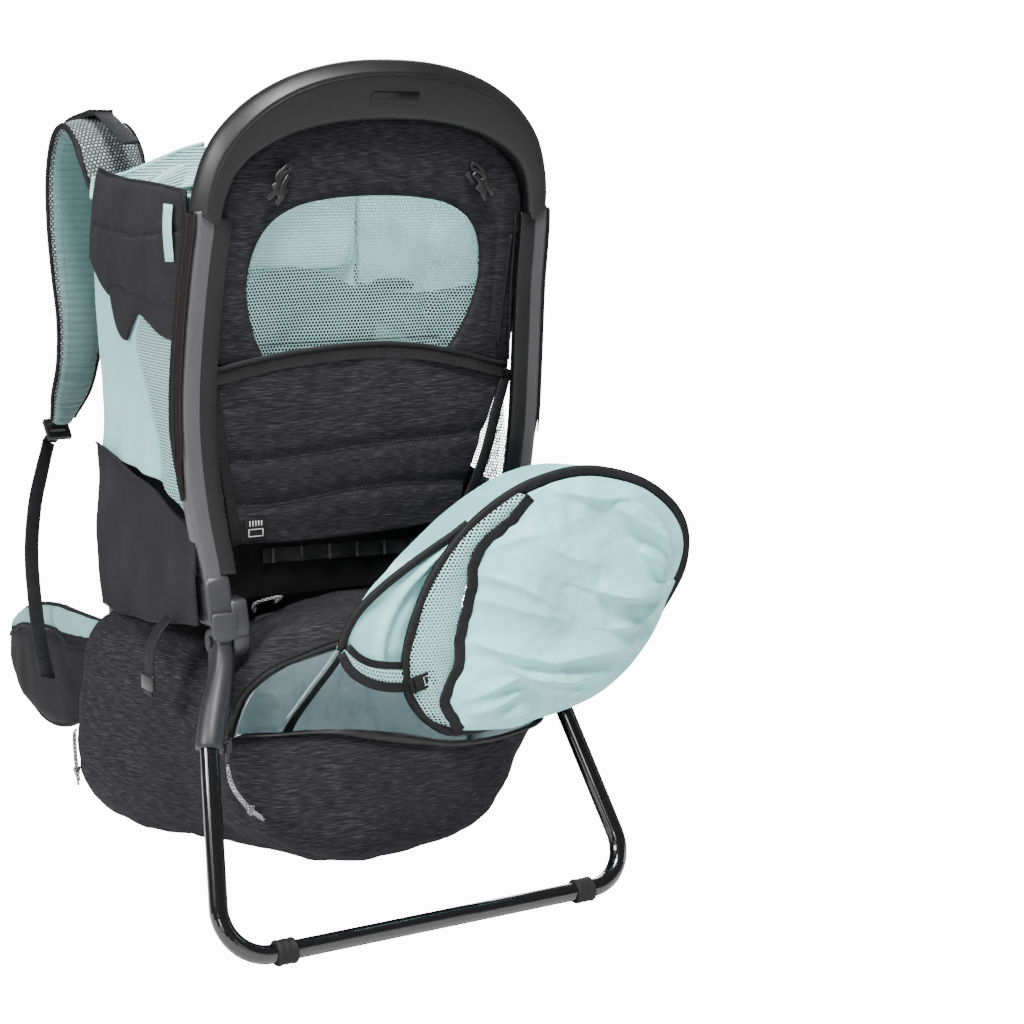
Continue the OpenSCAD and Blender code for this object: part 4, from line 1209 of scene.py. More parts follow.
# ---- inside: collar pad, back pad, lumbar pad, seat, harness ---------------
def pad(name, c, half, mat, body, slot, ribs=0, rib_depth=3.0, up=True, turn=0.0, puff=0.35, cols=56,
        rows=56, bend=0.0, seed=0, drop=0.0):
    """Stuffed panel facing -Y and +Y: rounded outline, soft edges, optional cross ribs."""
    hx, hy, hz = half
    front, back = [], []
    m = rot("X", turn)
    for i in range(rows):
        v = -1 + 2 * i / (rows - 1)
        rf, rb = [], []
        for j in range(cols):
            u = -1 + 2 * j / (cols - 1)
            x = hx * u * (1 - 0.06 * abs(v) ** 6)
            z = hz * v * (1 - 0.06 * abs(u) ** 6) - (drop * u * u if v > 0 else 0) * v
            edge = (1 - abs(u) ** 7) ** puff * (1 - abs(v) ** 7) ** puff
            r = rib_depth * abs(math.sin(math.pi * ribs * (v + 1) / 2)) ** 0.6 if ribs else 0
            w = wob(x, seed, z, 26, 1.4)
            th = hy * edge - (rib_depth - r if ribs else 0) * edge * (abs(u) < 0.9)
            base = Vector((x, bend * u * u, z))
            rf.append(Vector(c) + m @ (base + Vector((0, -th * (0.9 + 0.02 * w) - w * 0.5 * edge, 0))))
            rb.append(Vector(c) + m @ (base + Vector((0, th * (0.9 + 0.02 * w) + w * 0.5 * edge, 0))))
        front.append(rf)
        back.append(rb)
    rows_all = [f + list(reversed(b)) for f, b in zip(front, back)]
    o = surface(name, rows_all, mat, body, slot, closed=True, cap=True,
                pick=(lambda a, b: 0 if b < 0.5 else 1) if isinstance(mat, (list, tuple)) else None)
    return o


def inner_back():
    """Front pad and the two cloths behind it."""
    drool = pad("drool_pad_cushion", (0, 240, 648), (128, 9, 62), [M["collar"], M["rib"]], "frame",
                "rib_teal", bend=-8, turn=4, drop=40)
    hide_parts("drool_pad")
    between("inner_back_lining", [(-150, 664), (-120, 680), (-87, 696), (-70, 703), (-40, 711), (0, 714),
                                  (40, 711), (70, 703), (87, 696), (120, 680), (150, 664)],
            [(-150, 560), (-70, 566), (0, 562), (70, 566), (150, 558)],
            lambda x, z, s, t: Vector((x, 252 - 10 * (abs(x) / 150) ** 3 + wob(x, 0, z, 50, 3), z)),
            M["stretch"], "frame", "lining_teal", cols=60, rows=40, thick=2)
    between("inner_back_lower", [(-150, 556), (-110, 588), (-60, 580), (-10, 572), (40, 590), (90, 584),
                                 (150, 556)], [(-146, 330), (-70, 330), (0, 330), (70, 330), (146, 330)],
            lambda x, z, s, t: Vector((x, 232 + wob(x, 2, z, 45, 4) + 14 * t, z)), *DARK, cols=70,
            rows=50, thick=2)


inner_back()


def inner_side(s, tag):
    """Dark and teal cloth inside one side wall."""
    between("inner_side_dark_" + tag, [(236, 572), (160, 566), (90, 572), (20, 584)],
            [(236, 540), (160, 525), (90, 500), (26, 488)],
            lambda y, z, a, t, s=s: Vector((s * (151 - 16 * (y - 12) / 236 - 8 * math.sin(math.pi * t)
                                                 + wob(3, y, z, 40, 5)), y, z)), *DARK, cols=50, rows=20,
            thick=1.6)
    between("inner_side_lining_" + tag, [(236, 684), (160, 675), (90, 672), (20, 668)],
            [(236, 566), (160, 560), (90, 566), (24, 578)],
            lambda y, z, a, t, s=s: Vector((s * (154 - 16 * (y - 12) / 236 - 8 * math.sin(math.pi * t)
                                                 + wob(3, y, z, 40, 5)), y, z)), M["stretch"], "frame",
            "lining_teal", cols=50, rows=40, thick=1.6)


for side, side_name in SIDES:
    inner_side(side, side_name)


def wearer_pads():
    back = pad("back_pad_foam", (0, 268.5, 454), (128, 9.5, 174), [M["dark"], M["spacer"]], "frame",
               "spacer_mesh", ribs=7, rib_depth=3, rows=150, seed=3)
    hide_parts("back_pad")
    lumbar = pad("lumbar_pad_foam", (0, 285, 192), (112, 13, 64), [M["dark"], M["spacer"]], "frame",
                 "spacer_mesh", ribs=3, rib_depth=3, rows=80, seed=5)
    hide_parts("lumbar_pad")


wearer_pads()


def lumbar_strap(s, tag):
    """Webbing fin from the lumbar pad to the frame."""
    ribbon("lumbar_wing_strap_" + tag, [(s * 96, 284, 192), (s * 120, 280, 191), (s * 146, 268, 190),
                                        (s * 172, 254, 190)], 22, 2.2, *WEBBING, wide=(0, 0, 1))


for side, side_name in SIDES:
    lumbar_strap(side, side_name)


def child_seat():
    pan = pad("seat_pan_pad", (0, 106, 338), (78, 9, 55), M["dark"], "seat", "heather_charcoal", ribs=3,
              rib_depth=2, turn=90, seed=7)
    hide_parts("child_seat")
    inflate(pan, 3.0)
    seat_back = pad("seat_back_pad", (0, 33.5, 415), (60, 6, 76), M["dark"], "seat", "heather_charcoal",
                    ribs=4, rib_depth=2, seed=9)
    inflate(seat_back, 1.5)


child_seat()

STRAP = [(48, 4, 583), (48, 12, 585), (47, 30, 585), (44, 50, 570), (38, 64, 540), (27, 74, 506),
         (16, 78, 486), (16, 78, 467)]


def harness_side(s, tag):
    """Padded shoulder strap of the child harness and its webbing."""
    line = mirror_x(STRAP, s)
    st = ribbon("harness_pad_" + tag, line[:6], 14, 3.6, [M["dark"]], "frame", "rib_teal", step=5, r=3)
    ribbon("harness_web_" + tag, line[4:], 9.5, 1.1, *WEBBING, step=5)
    if s < 0:
        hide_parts("harness_straps")


for side, side_name in SIDES:
    harness_side(side, side_name)

ribbon("crotch_web", [(0, 81, 438), (0, 82, 424), (0, 88, 405), (0, 100, 386)], 12, 1.4, *WEBBING, step=5)

# ---- cockpit sides --------------------------------------------------------
def side_x(y):
    return 168 - 16 * (y - 12) / 236


WING_TOP = [(5, 674), (60, 678), (100, 680), (150, 682), (190, 686), (223, 691)]
WING_LOW = [(5, 573), (55, 572), (114, 574), (180, 582), (206, 574), (250, 606)]


def wing_side(s, tag):
    """Padded wing, its yoke, piping and tag."""
    def wing_put(y, z, a, t, s=s):
        e = min(a, 1 - a, t * 0.5, (1 - t) * 0.5) / 0.03
        r = max(0, 1 - e)
        x = (side_x(y) + 7 - 3.0 * r * r + 2.4 * math.sin(math.pi * t) + wob(0, y, z, 48, 2.8)
             + wob(2, y, z, 17, 0.6))
        x += groove((0, y, z), [(0, 8, 640), (0, 120, 632), (0, 222, 640)], 1.6, 2.2)
        return Vector((s * x, y, z))

    w = between("wing_panel_" + tag, WING_TOP, WING_LOW, wing_put, *DARK, cols=90, rows=50, thick=5)
    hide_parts("cockpit_wing_" + tag)
    between("wing_yoke_" + tag, [(4, 585), (55, 584), (114, 586), (160, 592), (200, 590)],
            [(4, 540), (60, 541), (100, 552), (124, 558), (146, 542), (160, 531), (186, 545), (204, 582)],
            lambda y, z, a, t, s=s: Vector((s * (side_x(y) + 6.0 + 1.5 * math.sin(math.pi * t) + wob(4, y,
            z, 40, 1.5)), y, z)), *DARK, cols=70, rows=20, thick=2)
    ring = dense(WING_TOP, 40) + list(reversed(dense(WING_LOW, 40)))
    edge = [Vector((s * (side_x(y) + 5), y, z)) for y, z in respace(ring, 120)]
    sweep("wing_piping_" + tag, edge, circle(2.6, 8), *BINDING, ref=(1, 0, 0.1), closed=True)
    stitch("wing_stitch_" + tag, [(s * (side_x(y) + 11.6 + wob(0, y, z, 48, 2.8)), y, z)
                                  for y, z in ((8, 636), (60, 632), (120, 628), (180, 631), (220, 637))],
           "frame", pitch=4.5, dash=2.6, r=0.4)
    tg = ribbon("wing_tag_" + tag, [(s * (side_x(18) + 15.5), 19, 663),
                                    (s * (side_x(18) + 16.8), 19.5, 640),
                                    (s * (side_x(18) + 15.2), 19, 612)], 8.6, 0.7, M["stretch"], "frame",
                "stretch_teal", wide=(0, 1, 0), step=5)
    if s < 0:
        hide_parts("wing_tags")
    stitch("wing_tag_stitch_" + tag, [(s * (side_x(18) + 17), 12.6, 660),
                                      (s * (side_x(18) + 17), 12.6, 614)], "frame", M["thread_pale"], 3.4,
           2.0, 0.3)


def side_panels(s, tag):
    """Stretch panel, mesh panel and dark lower panel of one side."""
    def side_put(y, z, a, t, s=s):
        x = (side_x(y) + 4.5 - 9 * math.sin(math.pi * min(1, max(0, (560 - z) / 190))) * 0.5
             + wob(0, y, z, 60, 3.0))
        x += 1.6 * math.sin(y / 9 + z / 60) * math.exp(-((z - 400) / 60) ** 2)
        return Vector((s * x, y, z))

    seam_line = [(110, 566), (136, 540), (138, 515), (118, 485), (106, 458), (94, 430), (88, 404)]
    stretch_o = between("side_stretch_" + tag, [(246, 612), (246, 570), (244, 530), (243, 490),
                                                (243, 460), (243, 430), (242, 417)], seam_line, side_put,
                        M["stretch"], "frame", "stretch_teal", cols=60, rows=50, thick=1.6)
    mesh_o = between("side_mesh_" + tag, seam_line, [(10, 566), (10, 540), (10, 510), (10, 480),
                                                     (10, 450), (10, 410), (10, 376)], side_put,
                     M["mesh_side"], "frame", "mesh_teal", cols=70, rows=50)
    stitch("side_seam_stitch_" + tag, [side_put(y, z, 0, 0) + Vector((s * 1.2, 0, 0))
                                       for y, z in dense(seam_line, 40)], "frame", M["thread_pale"], 4.2,
           2.4, 0.4)

    def low_put(y, z, a, t, s=s):
        x = side_x(y) + 5.5 + 3 * math.sin(math.pi * t) + wob(1, y, z, 46, 3.2)
        return Vector((s * x, y, z))

    low_o = between("side_lower_" + tag, [(246, 424), (200, 416), (150, 404), (88, 396), (50, 384),
                                          (-8, 370)], [(246, 262), (200, 260), (150, 264), (100, 268),
                                                       (50, 276), (-8, 284)], low_put, M["dark"], "frame",
                    "stretch_dark", cols=70, rows=44, thick=2)
    tube("side_lower_piping_" + tag, [low_put(y, z, 0, 0) + Vector((s * 1.5, 0, 0))
                                      for y, z in ((246, 424), (200, 416), (150, 404), (88, 396),
                                                   (50, 384), (8, 372))], 1.3, M["dark"], "frame",
         "stretch_dark", n=8, step=6)
    if s < 0:
        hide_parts("side_stretch_panels")
        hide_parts("side_mesh_panels")
        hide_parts("side_lower_panels")


def collar_side(s, tag):
    """Side of the padded collar."""
    collar = between("collar_side_" + tag, [(48, 716), (70, 709), (90, 700), (122, 686), (150, 682)],
                     [(48, 676), (70, 672), (90, 668), (122, 664), (152, 662)],
                     lambda x, z, a, t, s=s: Vector((s * x,
                                                     220 + 0.42 * (x - 48) + 3 * math.sin(math.pi * t)
                                                     + wob(x, 0, z, 30, 1.5), z)), M["collar"], "frame",
                     "rib_teal", cols=40, rows=24, thick=4)
    top = [(s * 48, 220, 716), (s * 70, 229, 709), (s * 90, 238, 700), (s * 122, 251, 686),
           (s * 150, 262, 682)]
    tube("collar_edge_" + tag, top, 2.2, M["stretch"], "frame", "rib_teal", n=8, step=5)
    for k, z in ((0, 0.3), (1, 0.42)):
        stitch("collar_stitch_%s_%d" % (tag, k),
               [(s * x, 215.5 + 0.42 * (x - 48), 716 - 0.33 * (x - 48) - 40 * z)
                for x in range(50, 150, 8)], "frame", M["thread_pale"], 3.4, 2.2, 0.35)


for side, side_name in SIDES:
    wing_side(side, side_name)
    side_panels(side, side_name)
    collar_side(side, side_name)

# ---- storage bag ----------------------------------------------------------
BN = 128
BAG = [(238, 158, 52, 238, 3.2), (236, 182, 36, 264, 3.4), (222, 197, 27, 280, 3.4),
       (180, 197, 27, 287, 3.2), (120, 181, 33, 288, 3.0), (70, 166, 36, 290, 2.7),
       (35, 157, 38, 292, 2.6), (5, 152, 40, 292, 2.6)]
MOUTH = [(158, -56, 170), (159, -54, 192), (155, -52, 210), (147, -50, 227), (134, -49, 241),
         (115, -49, 252), (91, -50, 260), (62, -51, 265), (31, -52, 267), (0, -51, 266), (-30, -50, 263),
         (-58, -47, 259), (-84, -44, 253), (-108, -40, 246), (-129, -35, 234), (-144, -27, 215),
         (-150, -13, 178), (-146, -24, 181), (-136, -36, 183), (-122, -47, 184), (-104, -56, 185),
         (-84, -63, 185), (-62, -69, 183), (-38, -73, 178), (-12, -76, 172), (16, -79, 166),
         (44, -82, 160), (72, -83, 158), (98, -82, 158), (120, -79, 160), (138, -74, 162), (150, -67, 165)]


def bag_ring(y, a, lo, hi, e, d=0.0):
    a, lo, hi = a - d, lo + d, hi - d
    return [Vector((a * pw(math.cos(t), 2 / e), y, (lo + hi) / 2 + (hi - lo) / 2 * pw(math.sin(t),
            2 / e))) for t in (2 * math.pi * k / BN for k in range(BN))]


def front_ring(wide, cx, yo, yu, yl, cp, up, lo, pu, pl, d):
    out = []
    for k in range(BN):
        t = 2 * math.pi * k / BN
        c, s = math.cos(t), math.sin(t)
        y = yo - yu * s if s >= 0 else yo - yl * (-s) ** 0.8 - cp * max(c, 0) * -s
        z = cx + up * s ** pu - d * s if s >= 0 else cx - lo * (-s) ** pl
        out.append(Vector(((wide - d) * pw(c, 0.84), y, z)))
    return out


def mouth_ring(d):
    pts = [Vector((p.x + 8 * max(0, p.x - 100) / 58, p.y, p.z)) for p in catmull(MOUTH, BN, closed=True)]
    return [p + Vector((-p.x, 0, 215 - p.z)).normalized() * d for p in pts]


def bag_rows(d):
    rings = [bag_ring(*b, d=d) for b in BAG]
    rings.append(front_ring(153, 170, -2, 8, 34 - d, 0, 121, 124 - d, 0.75, 0.8, d))
    rings.append(front_ring(155, 172, -8, 24, 62 - d, 18, 114, 102 - d, 0.70, 0.85, d))
    rings.append(mouth_ring(d))
    rows = []
    for k in range(64):
        t = k * (len(rings) - 1) / 63
        i = min(int(t), len(rings) - 2)
        f = t - i
        a, b, c, e = (rings[min(max(i + j, 0), len(rings) - 1)] for j in (-1, 0, 1, 2))
        rows.append([0.5 * (2 * q + (r - p) * f + (2 * p - 5 * q + 4 * r - w) * f * f
                            + (3 * q - p - 3 * r + w) * f ** 3) if 0 < i < len(rings) - 2
                     else q.lerp(r, f) for p, q, r, w in zip(a, b, c, e)])
    return rows


BAG_SEAMS = (([(-100, -72, 186), (-98, -75, 169), (-91, -77, 146)], 3.0, 3.5),
             ([(-91, -77, 146), (-70, -80, 139), (-20, -84, 132), (50, -82, 128), (110, -70, 122)], 2.0, 6),
             ([(-192, -22, 192), (-186, -8, 150), (-188, 15, 92), (-180, 30, 60)], 3.0, 3.5),
             ([(-194, 30, 262), (-194, 34, 200), (-194, 44, 120)], 1.6, 4),
             ([(-194, 68, 116), (-194, 90, 80), (-190, 100, 50)], 2.4, 5),
             ([(-190, 20, 130), (-188, 40, 84), (-180, 52, 52)], 2.2, 4),
             ([(-60, -66, 100), (0, -66, 66), (30, -64, 84), (60, -62, 108)], 2.4, 7),
             ([(-150, -40, 96), (-110, -52, 88), (-60, -54, 66)], 1.8, 6),
             ([(-130, 10, 291), (-60, -2, 292), (20, 0, 292), (100, 2, 291)], 1.4, 4),
             ([(194, 30, 262), (194, 34, 200), (190, 44, 120), (184, 50, 60)], 2.4, 4))


def puffed(p, soft):
    out = Vector((p.x, 0.35 * (p.y - 100), p.z - 160)).normalized()
    d = (wob(p.x, p.y, p.z, 62, 5.0, 3) + wob(p.x, p.y, p.z * 1.8, 30, 3.2)
         + wob(p.x, p.y, p.z * 1.6, 13, 0.9))
    for line, depth, width in BAG_SEAMS:
        d += groove(p, line, depth * 1.9, width)
    q = p + out * ((d - 1.4) * soft)
    q.z = max(q.z, 26)
    return q


def bag_shell():
    rows = bag_rows(0)
    shell_rows = ([[puffed(p, min(1, (64 - i) / 10) * min(1, 0.3 + i / 8)) for p in row]
                   for i, row in enumerate(rows[:-1])] + [rows[-1]])
    c = sum(shell_rows[0], Vector()) / BN
    shell_rows = [[c + (p - c) * f for p in shell_rows[0]] for f in (0.3, 0.7, 0.94)] + shell_rows
    shell = surface("bag_shell_cloth", shell_rows, *HEATHER, closed=True)
    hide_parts("bag_shell")
    thicken(shell, 2.2, 0, -1)
    back_fan = shell_rows[0]
    surface("bag_back_patch", [[c + (p - c) * f for p in back_fan] for f in (1.02, 0.5, 0.02)], *DARK,
            closed=True)


bag_shell()


def bag_lining():
    inner_rows = bag_rows(10)[9:-1]
    inner_rows = ([[p + Vector((-p.x, 0, 160 - p.z)).normalized() * (1.0 + wob(p.x, p.y, p.z, 26, 3.0)
            + wob(p.z, p.x, p.y, 11, 1.0)) for p in row] for row in inner_rows] + [mouth_ring(3.2)])
    liner = surface("bag_lining_cloth", inner_rows, M["lining"], "frame", "lining_teal", closed=True)
    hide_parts("bag_lining")
    thicken(liner, 0.8)


bag_lining()


def bag_wall():
    """Lining that hangs across the inside of the bag."""
    drape = between("bag_inner_wall", [(-132, 262), (-70, 274), (0, 276), (70, 274), (132, 262)],
                    [(-134, 104), (-70, 90), (0, 86), (70, 90), (134, 104)],
                    lambda x, z, a, t: Vector((x, 36 + 24 * math.sin(math.pi * t)
                                               - 22 * (abs(x) / 134) ** 4 + wob(x, 2, z, 40, 12)
                                               + wob(x * 1.6, 5, z * 0.7, 18, 4), z)), M["lining"],
                    "frame", "lining_teal", cols=110, rows=80)
    thicken(drape, 0.8)


bag_wall()


def bag_zip():
    """Tape on the lips, teeth along its inner edge and the piping."""
    lips = mouth_ring(1.0)
    tape = []
    for k, p in enumerate(lips):
        t = (lips[(k + 1) % BN] - lips[k - 1]).normalized()
        inward = Vector((-p.x, 0, 215 - p.z)).normalized()
        out = Vector((0, -1, 0))
        tape.append([p + out * 2.4 - inward * 5, p + out * 3.6 - inward * 1, p + out * 3.4 + inward * 3.0,
                     p + out * 2.2 + inward * 3.0, p + out * 1.6 - inward * 5])
    tp = surface("bag_zip_tape", tape, M["zip"], "frame", "binding_black", closed=True, loop=True)
    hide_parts("bag_zip")
    fine = even([p + Vector((-p.x, 0, 215 - p.z)).normalized() * 3.6 + Vector((0, -3.2, 0))
                 for p in lips], 2.0, closed=True)
    tv, tf = [], []
    for i in range(0, len(fine)):
        t = tangent(fine, i, True)
        inward = Vector((-fine[i].x, 0, 215 - fine[i].z)).normalized()
        b = t.cross(inward).normalized()
        k = len(tv)
        for su, sv, sw in ((-1, -1, -1), (1, -1, -1), (1, 1, -1), (-1, 1, -1), (-1, -1, 1), (1, -1, 1),
                           (1, 1, 1), (-1, 1, 1)):
            tv.append(fine[i] + t * (su * 0.55) + inward * (sv * 1.0) + b * (sw * 0.9))
        tf += [(k, k + 1, k + 2, k + 3), (k + 4, k + 7, k + 6, k + 5), (k, k + 4, k + 5, k + 1),
               (k + 1, k + 5, k + 6, k + 2), (k + 2, k + 6, k + 7, k + 3), (k + 3, k + 7, k + 4, k)]
    link("bag_zip_teeth", tv, tf, None, M["strip"], "frame", smooth=False)
    piping = [p + Vector((0, -1.5, 0)) - Vector((-p.x, 0, 215 - p.z)).normalized() * 7 for p in lips]
    sweep("bag_mouth_piping", piping[4:62], circle(1.5, 8), *DARK, ref=(0, 1, 0.1))


bag_zip()

# ---- bag details ----------------------------------------------------------
def bag_strap(s, tag):
    """Compression strap and its keeper."""
    ribbon("bag_compression_strap_" + tag, [(s * 180, 42, 284), (s * 190, 44, 274), (s * 197.5, 46, 256),
                                            (s * 199.5, 48, 232), (s * 199.3, 50, 212)], 9, 1.0, *WEBBING,
           wide=(0, 1, 0), step=5)
    block("bag_strap_keeper_" + tag, (s * 199.6, 49.5, 224), (3.4, 25, 15), *BUCKLE, r=1.4)


for side, side_name in SIDES:
    bag_strap(side, side_name)

for k, (x, y, z) in enumerate(((-99, 31, 285.5), (-76.5, 30, 289.0))):
    block("cord_loop_tack_%d" % k, (x, y, z), (6, 5, 2.6), *BINDING, r=0.8)

# ---- sunshade -------------------------------------------------------------
def shade(x, z, o=0.0):
    """Point in the drawn-out shade's plane; o stands off it towards the back."""
    return Vector((x, -85 - 0.18 * (x - 50) - o, z))


HP = [(50, 172), (24, 186), (7, 209), (3, 238), (10, 274), (27, 314), (50, 347), (77, 373), (110, 394),
      (143, 406), (176, 411), (208, 407), (240, 396), (266, 378), (281, 358), (286, 335), (281, 308),
      (264, 279), (240, 248), (214, 220), (184, 199), (150, 186), (103, 176)]


def main_hoop():
    hoop_line = [shade(x, z) for x, z in HP]
    hoop_path = even(hoop_line, 5, closed=True)
    hoop = sweep("shade_hoop_binding", hoop_path,
                 [(5.4 * pw(math.cos(t), 0.9), 3.6 * pw(math.sin(t), 0.9))
                  for t in (2 * math.pi * k / 14 for k in range(14))], *SHADE_EDGE, ref=(0.18, 1, 0),
                 closed=True)
    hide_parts("shade_hoop")
    hoop_seam = [p + (Vector((146, p.y, 292)) - p).normalized() * 5.4 + Vector((0, -1.2, 0))
                 for p in hoop_path]
    tube("shade_hoop_hem", hoop_seam, 1.0, *SHADE_EDGE, n=8, closed=True)


main_hoop()

WAVE = [(122, 390), (108, 373), (95, 362), (80, 352), (70, 340), (66, 326), (65, 310), (61, 294),
        (57, 278), (53, 262), (52, 250), (52, 238), (47, 226), (42, 214), (38, 204), (40, 194), (46, 183),
        (54, 173)]
OUTER = [(103, 171), (128, 177), (152, 182), (188, 194), (219, 215), (242, 241), (254, 260), (262, 280),
         (270, 297), (278, 314), (282, 334), (277, 354), (263, 373), (239, 391), (207, 402), (176, 406),
         (143, 401)]
cloth_line = dense(WAVE, 90) + dense([WAVE[-1]] + OUTER + [WAVE[0]], 150)[1:-1]
FOLDS = (([(61, 324), (101, 309), (141, 286)], 5, 16, 5),
         ([(48, 262), (101, 242), (131, 235), (182, 238), (232, 243)], 9, 18, 4),
         ([(176, 300), (196, 294), (216, 291), (252, 286)], 12, 20, 2.4),
         ([(200, 380), (226, 360), (262, 338)], 10, 16, 4),
         ([(216, 386), (240, 364), (266, 322)], 8, 12, 3),
         ([(226, 336), (244, 320), (260, 300)], 9, 12, 3),
         ([(50, 178), (114, 183), (190, 197)], 7, 12, 3),
         ([(50, 200), (101, 223), (148, 214), (212, 218)], 8, 14, 4),
         ([(87, 234), (134, 210), (178, 199)], 7, 12, 3),
         ([(130, 398), (190, 385), (246, 386)], 7, 14, 3),
         ([(60, 300), (110, 284), (160, 270)], 5, 20, 7),
         ([(110, 356), (150, 334), (196, 322)], 5, 22, 8),
         ([(54, 186), (88, 198), (120, 214)], 6, 10, 3),
         ([(190, 262), (226, 262), (250, 276)], 7, 14, 3),
         ([(150, 340), (176, 300), (186, 262)], 4, 24, 10),
         ([(70, 340), (100, 350), (140, 360)], 3, 18, 6))


def cloth_put(x, z, k):
    f = 1 - (1 - k) ** 2
    lower_right = max(0.0, min(1.0, (0.62 * (x - 140) - 0.78 * (z - 292) - 12) / 45)) * (z < 300)
    o = 3.5 + 16 * f + 4.0 * lower_right * (1 - k)
    for line, high, soft, sharp in FOLDS:
        o += 1.5 * pleat(x, z, line, high, soft, sharp) * min(1, 0.15 + 5 * k)
    ang = math.atan2(z - 292, x - 150)
    ray = math.sin(ang * 17 + 2.2 * math.sin(ang * 4)) * (0.6 + 0.4 * math.cos(ang + 0.6))
    o += 3.0 * ray * math.exp(-k * 4.5) * min(1, 14 * k)
    o += wob(x, 1, z, 46, 6) * min(1, 3 * k) + wob(x, 7, z * 1.7, 17, 1.2) * min(1, 4 * k)
    return shade(x, z, o)


def shade_cloth():
    """Main cloth with its waved binding."""
    cloth = patch("shade_cloth_sheet", cloth_line, (150, 290), cloth_put, *SHADE_CLOTH, rings=80, spokes=360)
    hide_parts("shade_cloth")
    thicken(cloth, 0.7)
    wave_pts = even([shade(x, z, 6.0) for x, z in WAVE], 4)
    wave_pts = [p + Vector((wob(p.x, 0, p.z, 9, 2.0), wob(p.z, 0, p.x, 12, 1.5), 0)) for p in wave_pts]
    sweep("shade_wave_binding", wave_pts, slab(5.4, 1.4, 1.0, 2), *SHADE_EDGE, ref=(0.18, 1, 0))


shade_cloth()

LEFT = [(112, 394), (77, 373), (50, 347), (27, 314), (10, 274), (3, 238), (7, 209), (24, 186), (50, 174)]


def shade_mesh():
    mesh_part = between("shade_mesh_cloth", WAVE, LEFT,
                        lambda x, z, s, t: shade(x, z, 3 + 4 * math.sin(math.pi * t) + wob(x, 0, z, 30,
            1.6)), M["mesh_shade"], "sunshade", "mesh_teal", cols=90, rows=16)
    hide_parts("shade_mesh")

    between("shade_mesh_backing", WAVE, LEFT,
            lambda x, z, s, t: shade(x, z, -5 - 3 * math.sin(math.pi * t)), *SHADE_CLOTH, cols=60, rows=10)


shade_mesh()

RH = [(-60, -66, 258), (-54, -67, 276), (-42, -69, 294), (-22, -71, 311), (4, -73, 328), (30, -75, 343),
      (54, -77, 356), (69, -79, 366)]
RM = [(9, -69, 226), (7, -69, 238), (10, -70, 256), (17, -71, 276), (28, -72, 297), (40, -74, 316),
      (55, -76, 333), (72, -79, 350)]


def rear_cloth():
    """Rear hoop and the cloth between it and the main hoop."""
    rear = tube("shade_rear_binding", RH, 4.4, *SHADE_EDGE, n=12, step=5, rb=3.2, ref=(0.1, 1, 0))
    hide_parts("shade_rear_hoop")
    ra, rb = catmull(RH, 60), catmull(RM, 60)
    rows = []
    for k in range(24):
        f = k / 23
        row = []
        for i, (a, b) in enumerate(zip(ra, rb)):
            p = a.lerp(b, f)
            g = i / 59
            ridge = (5.0 * math.exp(-(((f - 0.62 + 0.45 * g) / 0.10) ** 2))
                     - 4.0 * math.exp(-(((f - 0.75 + 0.35 * g) / 0.07) ** 2)))
            row.append(p + Vector((0, 3 - ridge - 4 * math.sin(math.pi * f) + wob(p.x, 2, p.z, 24, 2.5), 0)))
        rows.append(row)
    rp = surface("shade_rear_cloth", rows, *SHADE_CLOTH)
    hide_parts("shade_rear_panel")


rear_cloth()

# pale cloth standing up behind the rear edge and the hoop
CROWN = [(-50, -64, 284), (-30, -60, 306), (-8, -57, 324), (8, -56, 338), (26, -56, 352), (46, -57, 368),
         (75, -60, 387), (100, -64, 401), (128, -70, 412), (158, -77, 416), (190, -86, 413)]
SEAM = [(-50, -67, 280), (-34, -69, 300), (-14, -70, 316), (8, -70, 322), (34, -71, 328), (60, -73, 334),
        (84, -77, 346), (110, -82, 362), (134, -88, 376), (160, -95, 390), (190, -103, 402)]


def crown_cloth():
    ca, cb = catmull(CROWN, 70), catmull(SEAM, 70)
    rows = [[a.lerp(b, k / 15) + Vector((0, 2.5 * math.sin(math.pi * k / 15) + wob(a.x, k, a.z, 22, 1.4),
                                         0)) for a, b in zip(ca, cb)] for k in range(16)]
    crown = surface("shade_crown_cloth", rows, *SHADE_CLOTH)


crown_cloth()

# short mesh strip with two bindings below the rear panel
UPB = [(-55, -70, 262), (-46, -73, 252), (-34, -75, 245), (-18, -76, 241), (-2, -77, 239)]
LOB = [(-62, -69, 256), (-54, -74, 240), (-40, -77, 229), (-22, -79, 222), (-2, -80, 219)]


def mesh_strip():
    sweep("strip_binding_top", even(UPB, 4), slab(3.6, 1.2, 1.0, 2), *SHADE_EDGE, ref=(0, 1, 0))
    sweep("strip_binding_low", even(LOB, 4), slab(4.6, 1.3, 1.0, 2), *SHADE_EDGE, ref=(0, 1, 0))
    strip_rows = [[a.lerp(b, k / 6) for a, b in zip(catmull(UPB, 24), catmull(LOB, 24))] for k in range(7)]
    surface("strip_mesh", strip_rows, M["mesh_shade"], "sunshade", "mesh_teal")


mesh_strip()


def shade_tab():
    tab = block("shade_tab_label", tuple(shade(18, 224, 6.4)), (22, 1.6, 15), M["label"], "sunshade",
                "label_black", r=0.6, turn=rot("Y", -16))
    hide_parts("shade_tab")
    block("shade_tab_fold", tuple(shade(10, 221, 4.6)), (14, 2.4, 15), M["label"], "sunshade",
          "label_black", r=0.6, turn=rot("Y", -16))
    for i, (dx, dz, w, h) in enumerate(((0, 4.2, 9, 0.7), (0, -4.2, 9, 0.7), (-4.5, 0, 0.7, 8.6),
                                        (3, 0, 0.8, 5))):
        c = shade(21, 225, 7.4) + Vector((dx, 0, dz + dx * 0.28))
        block("shade_tab_mark_%d" % i, tuple(c), (w, 0.4, h), M["print"], "sunshade", "label_black",
              r=0.15, turn=rot("Y", -16), n=1)


shade_tab()

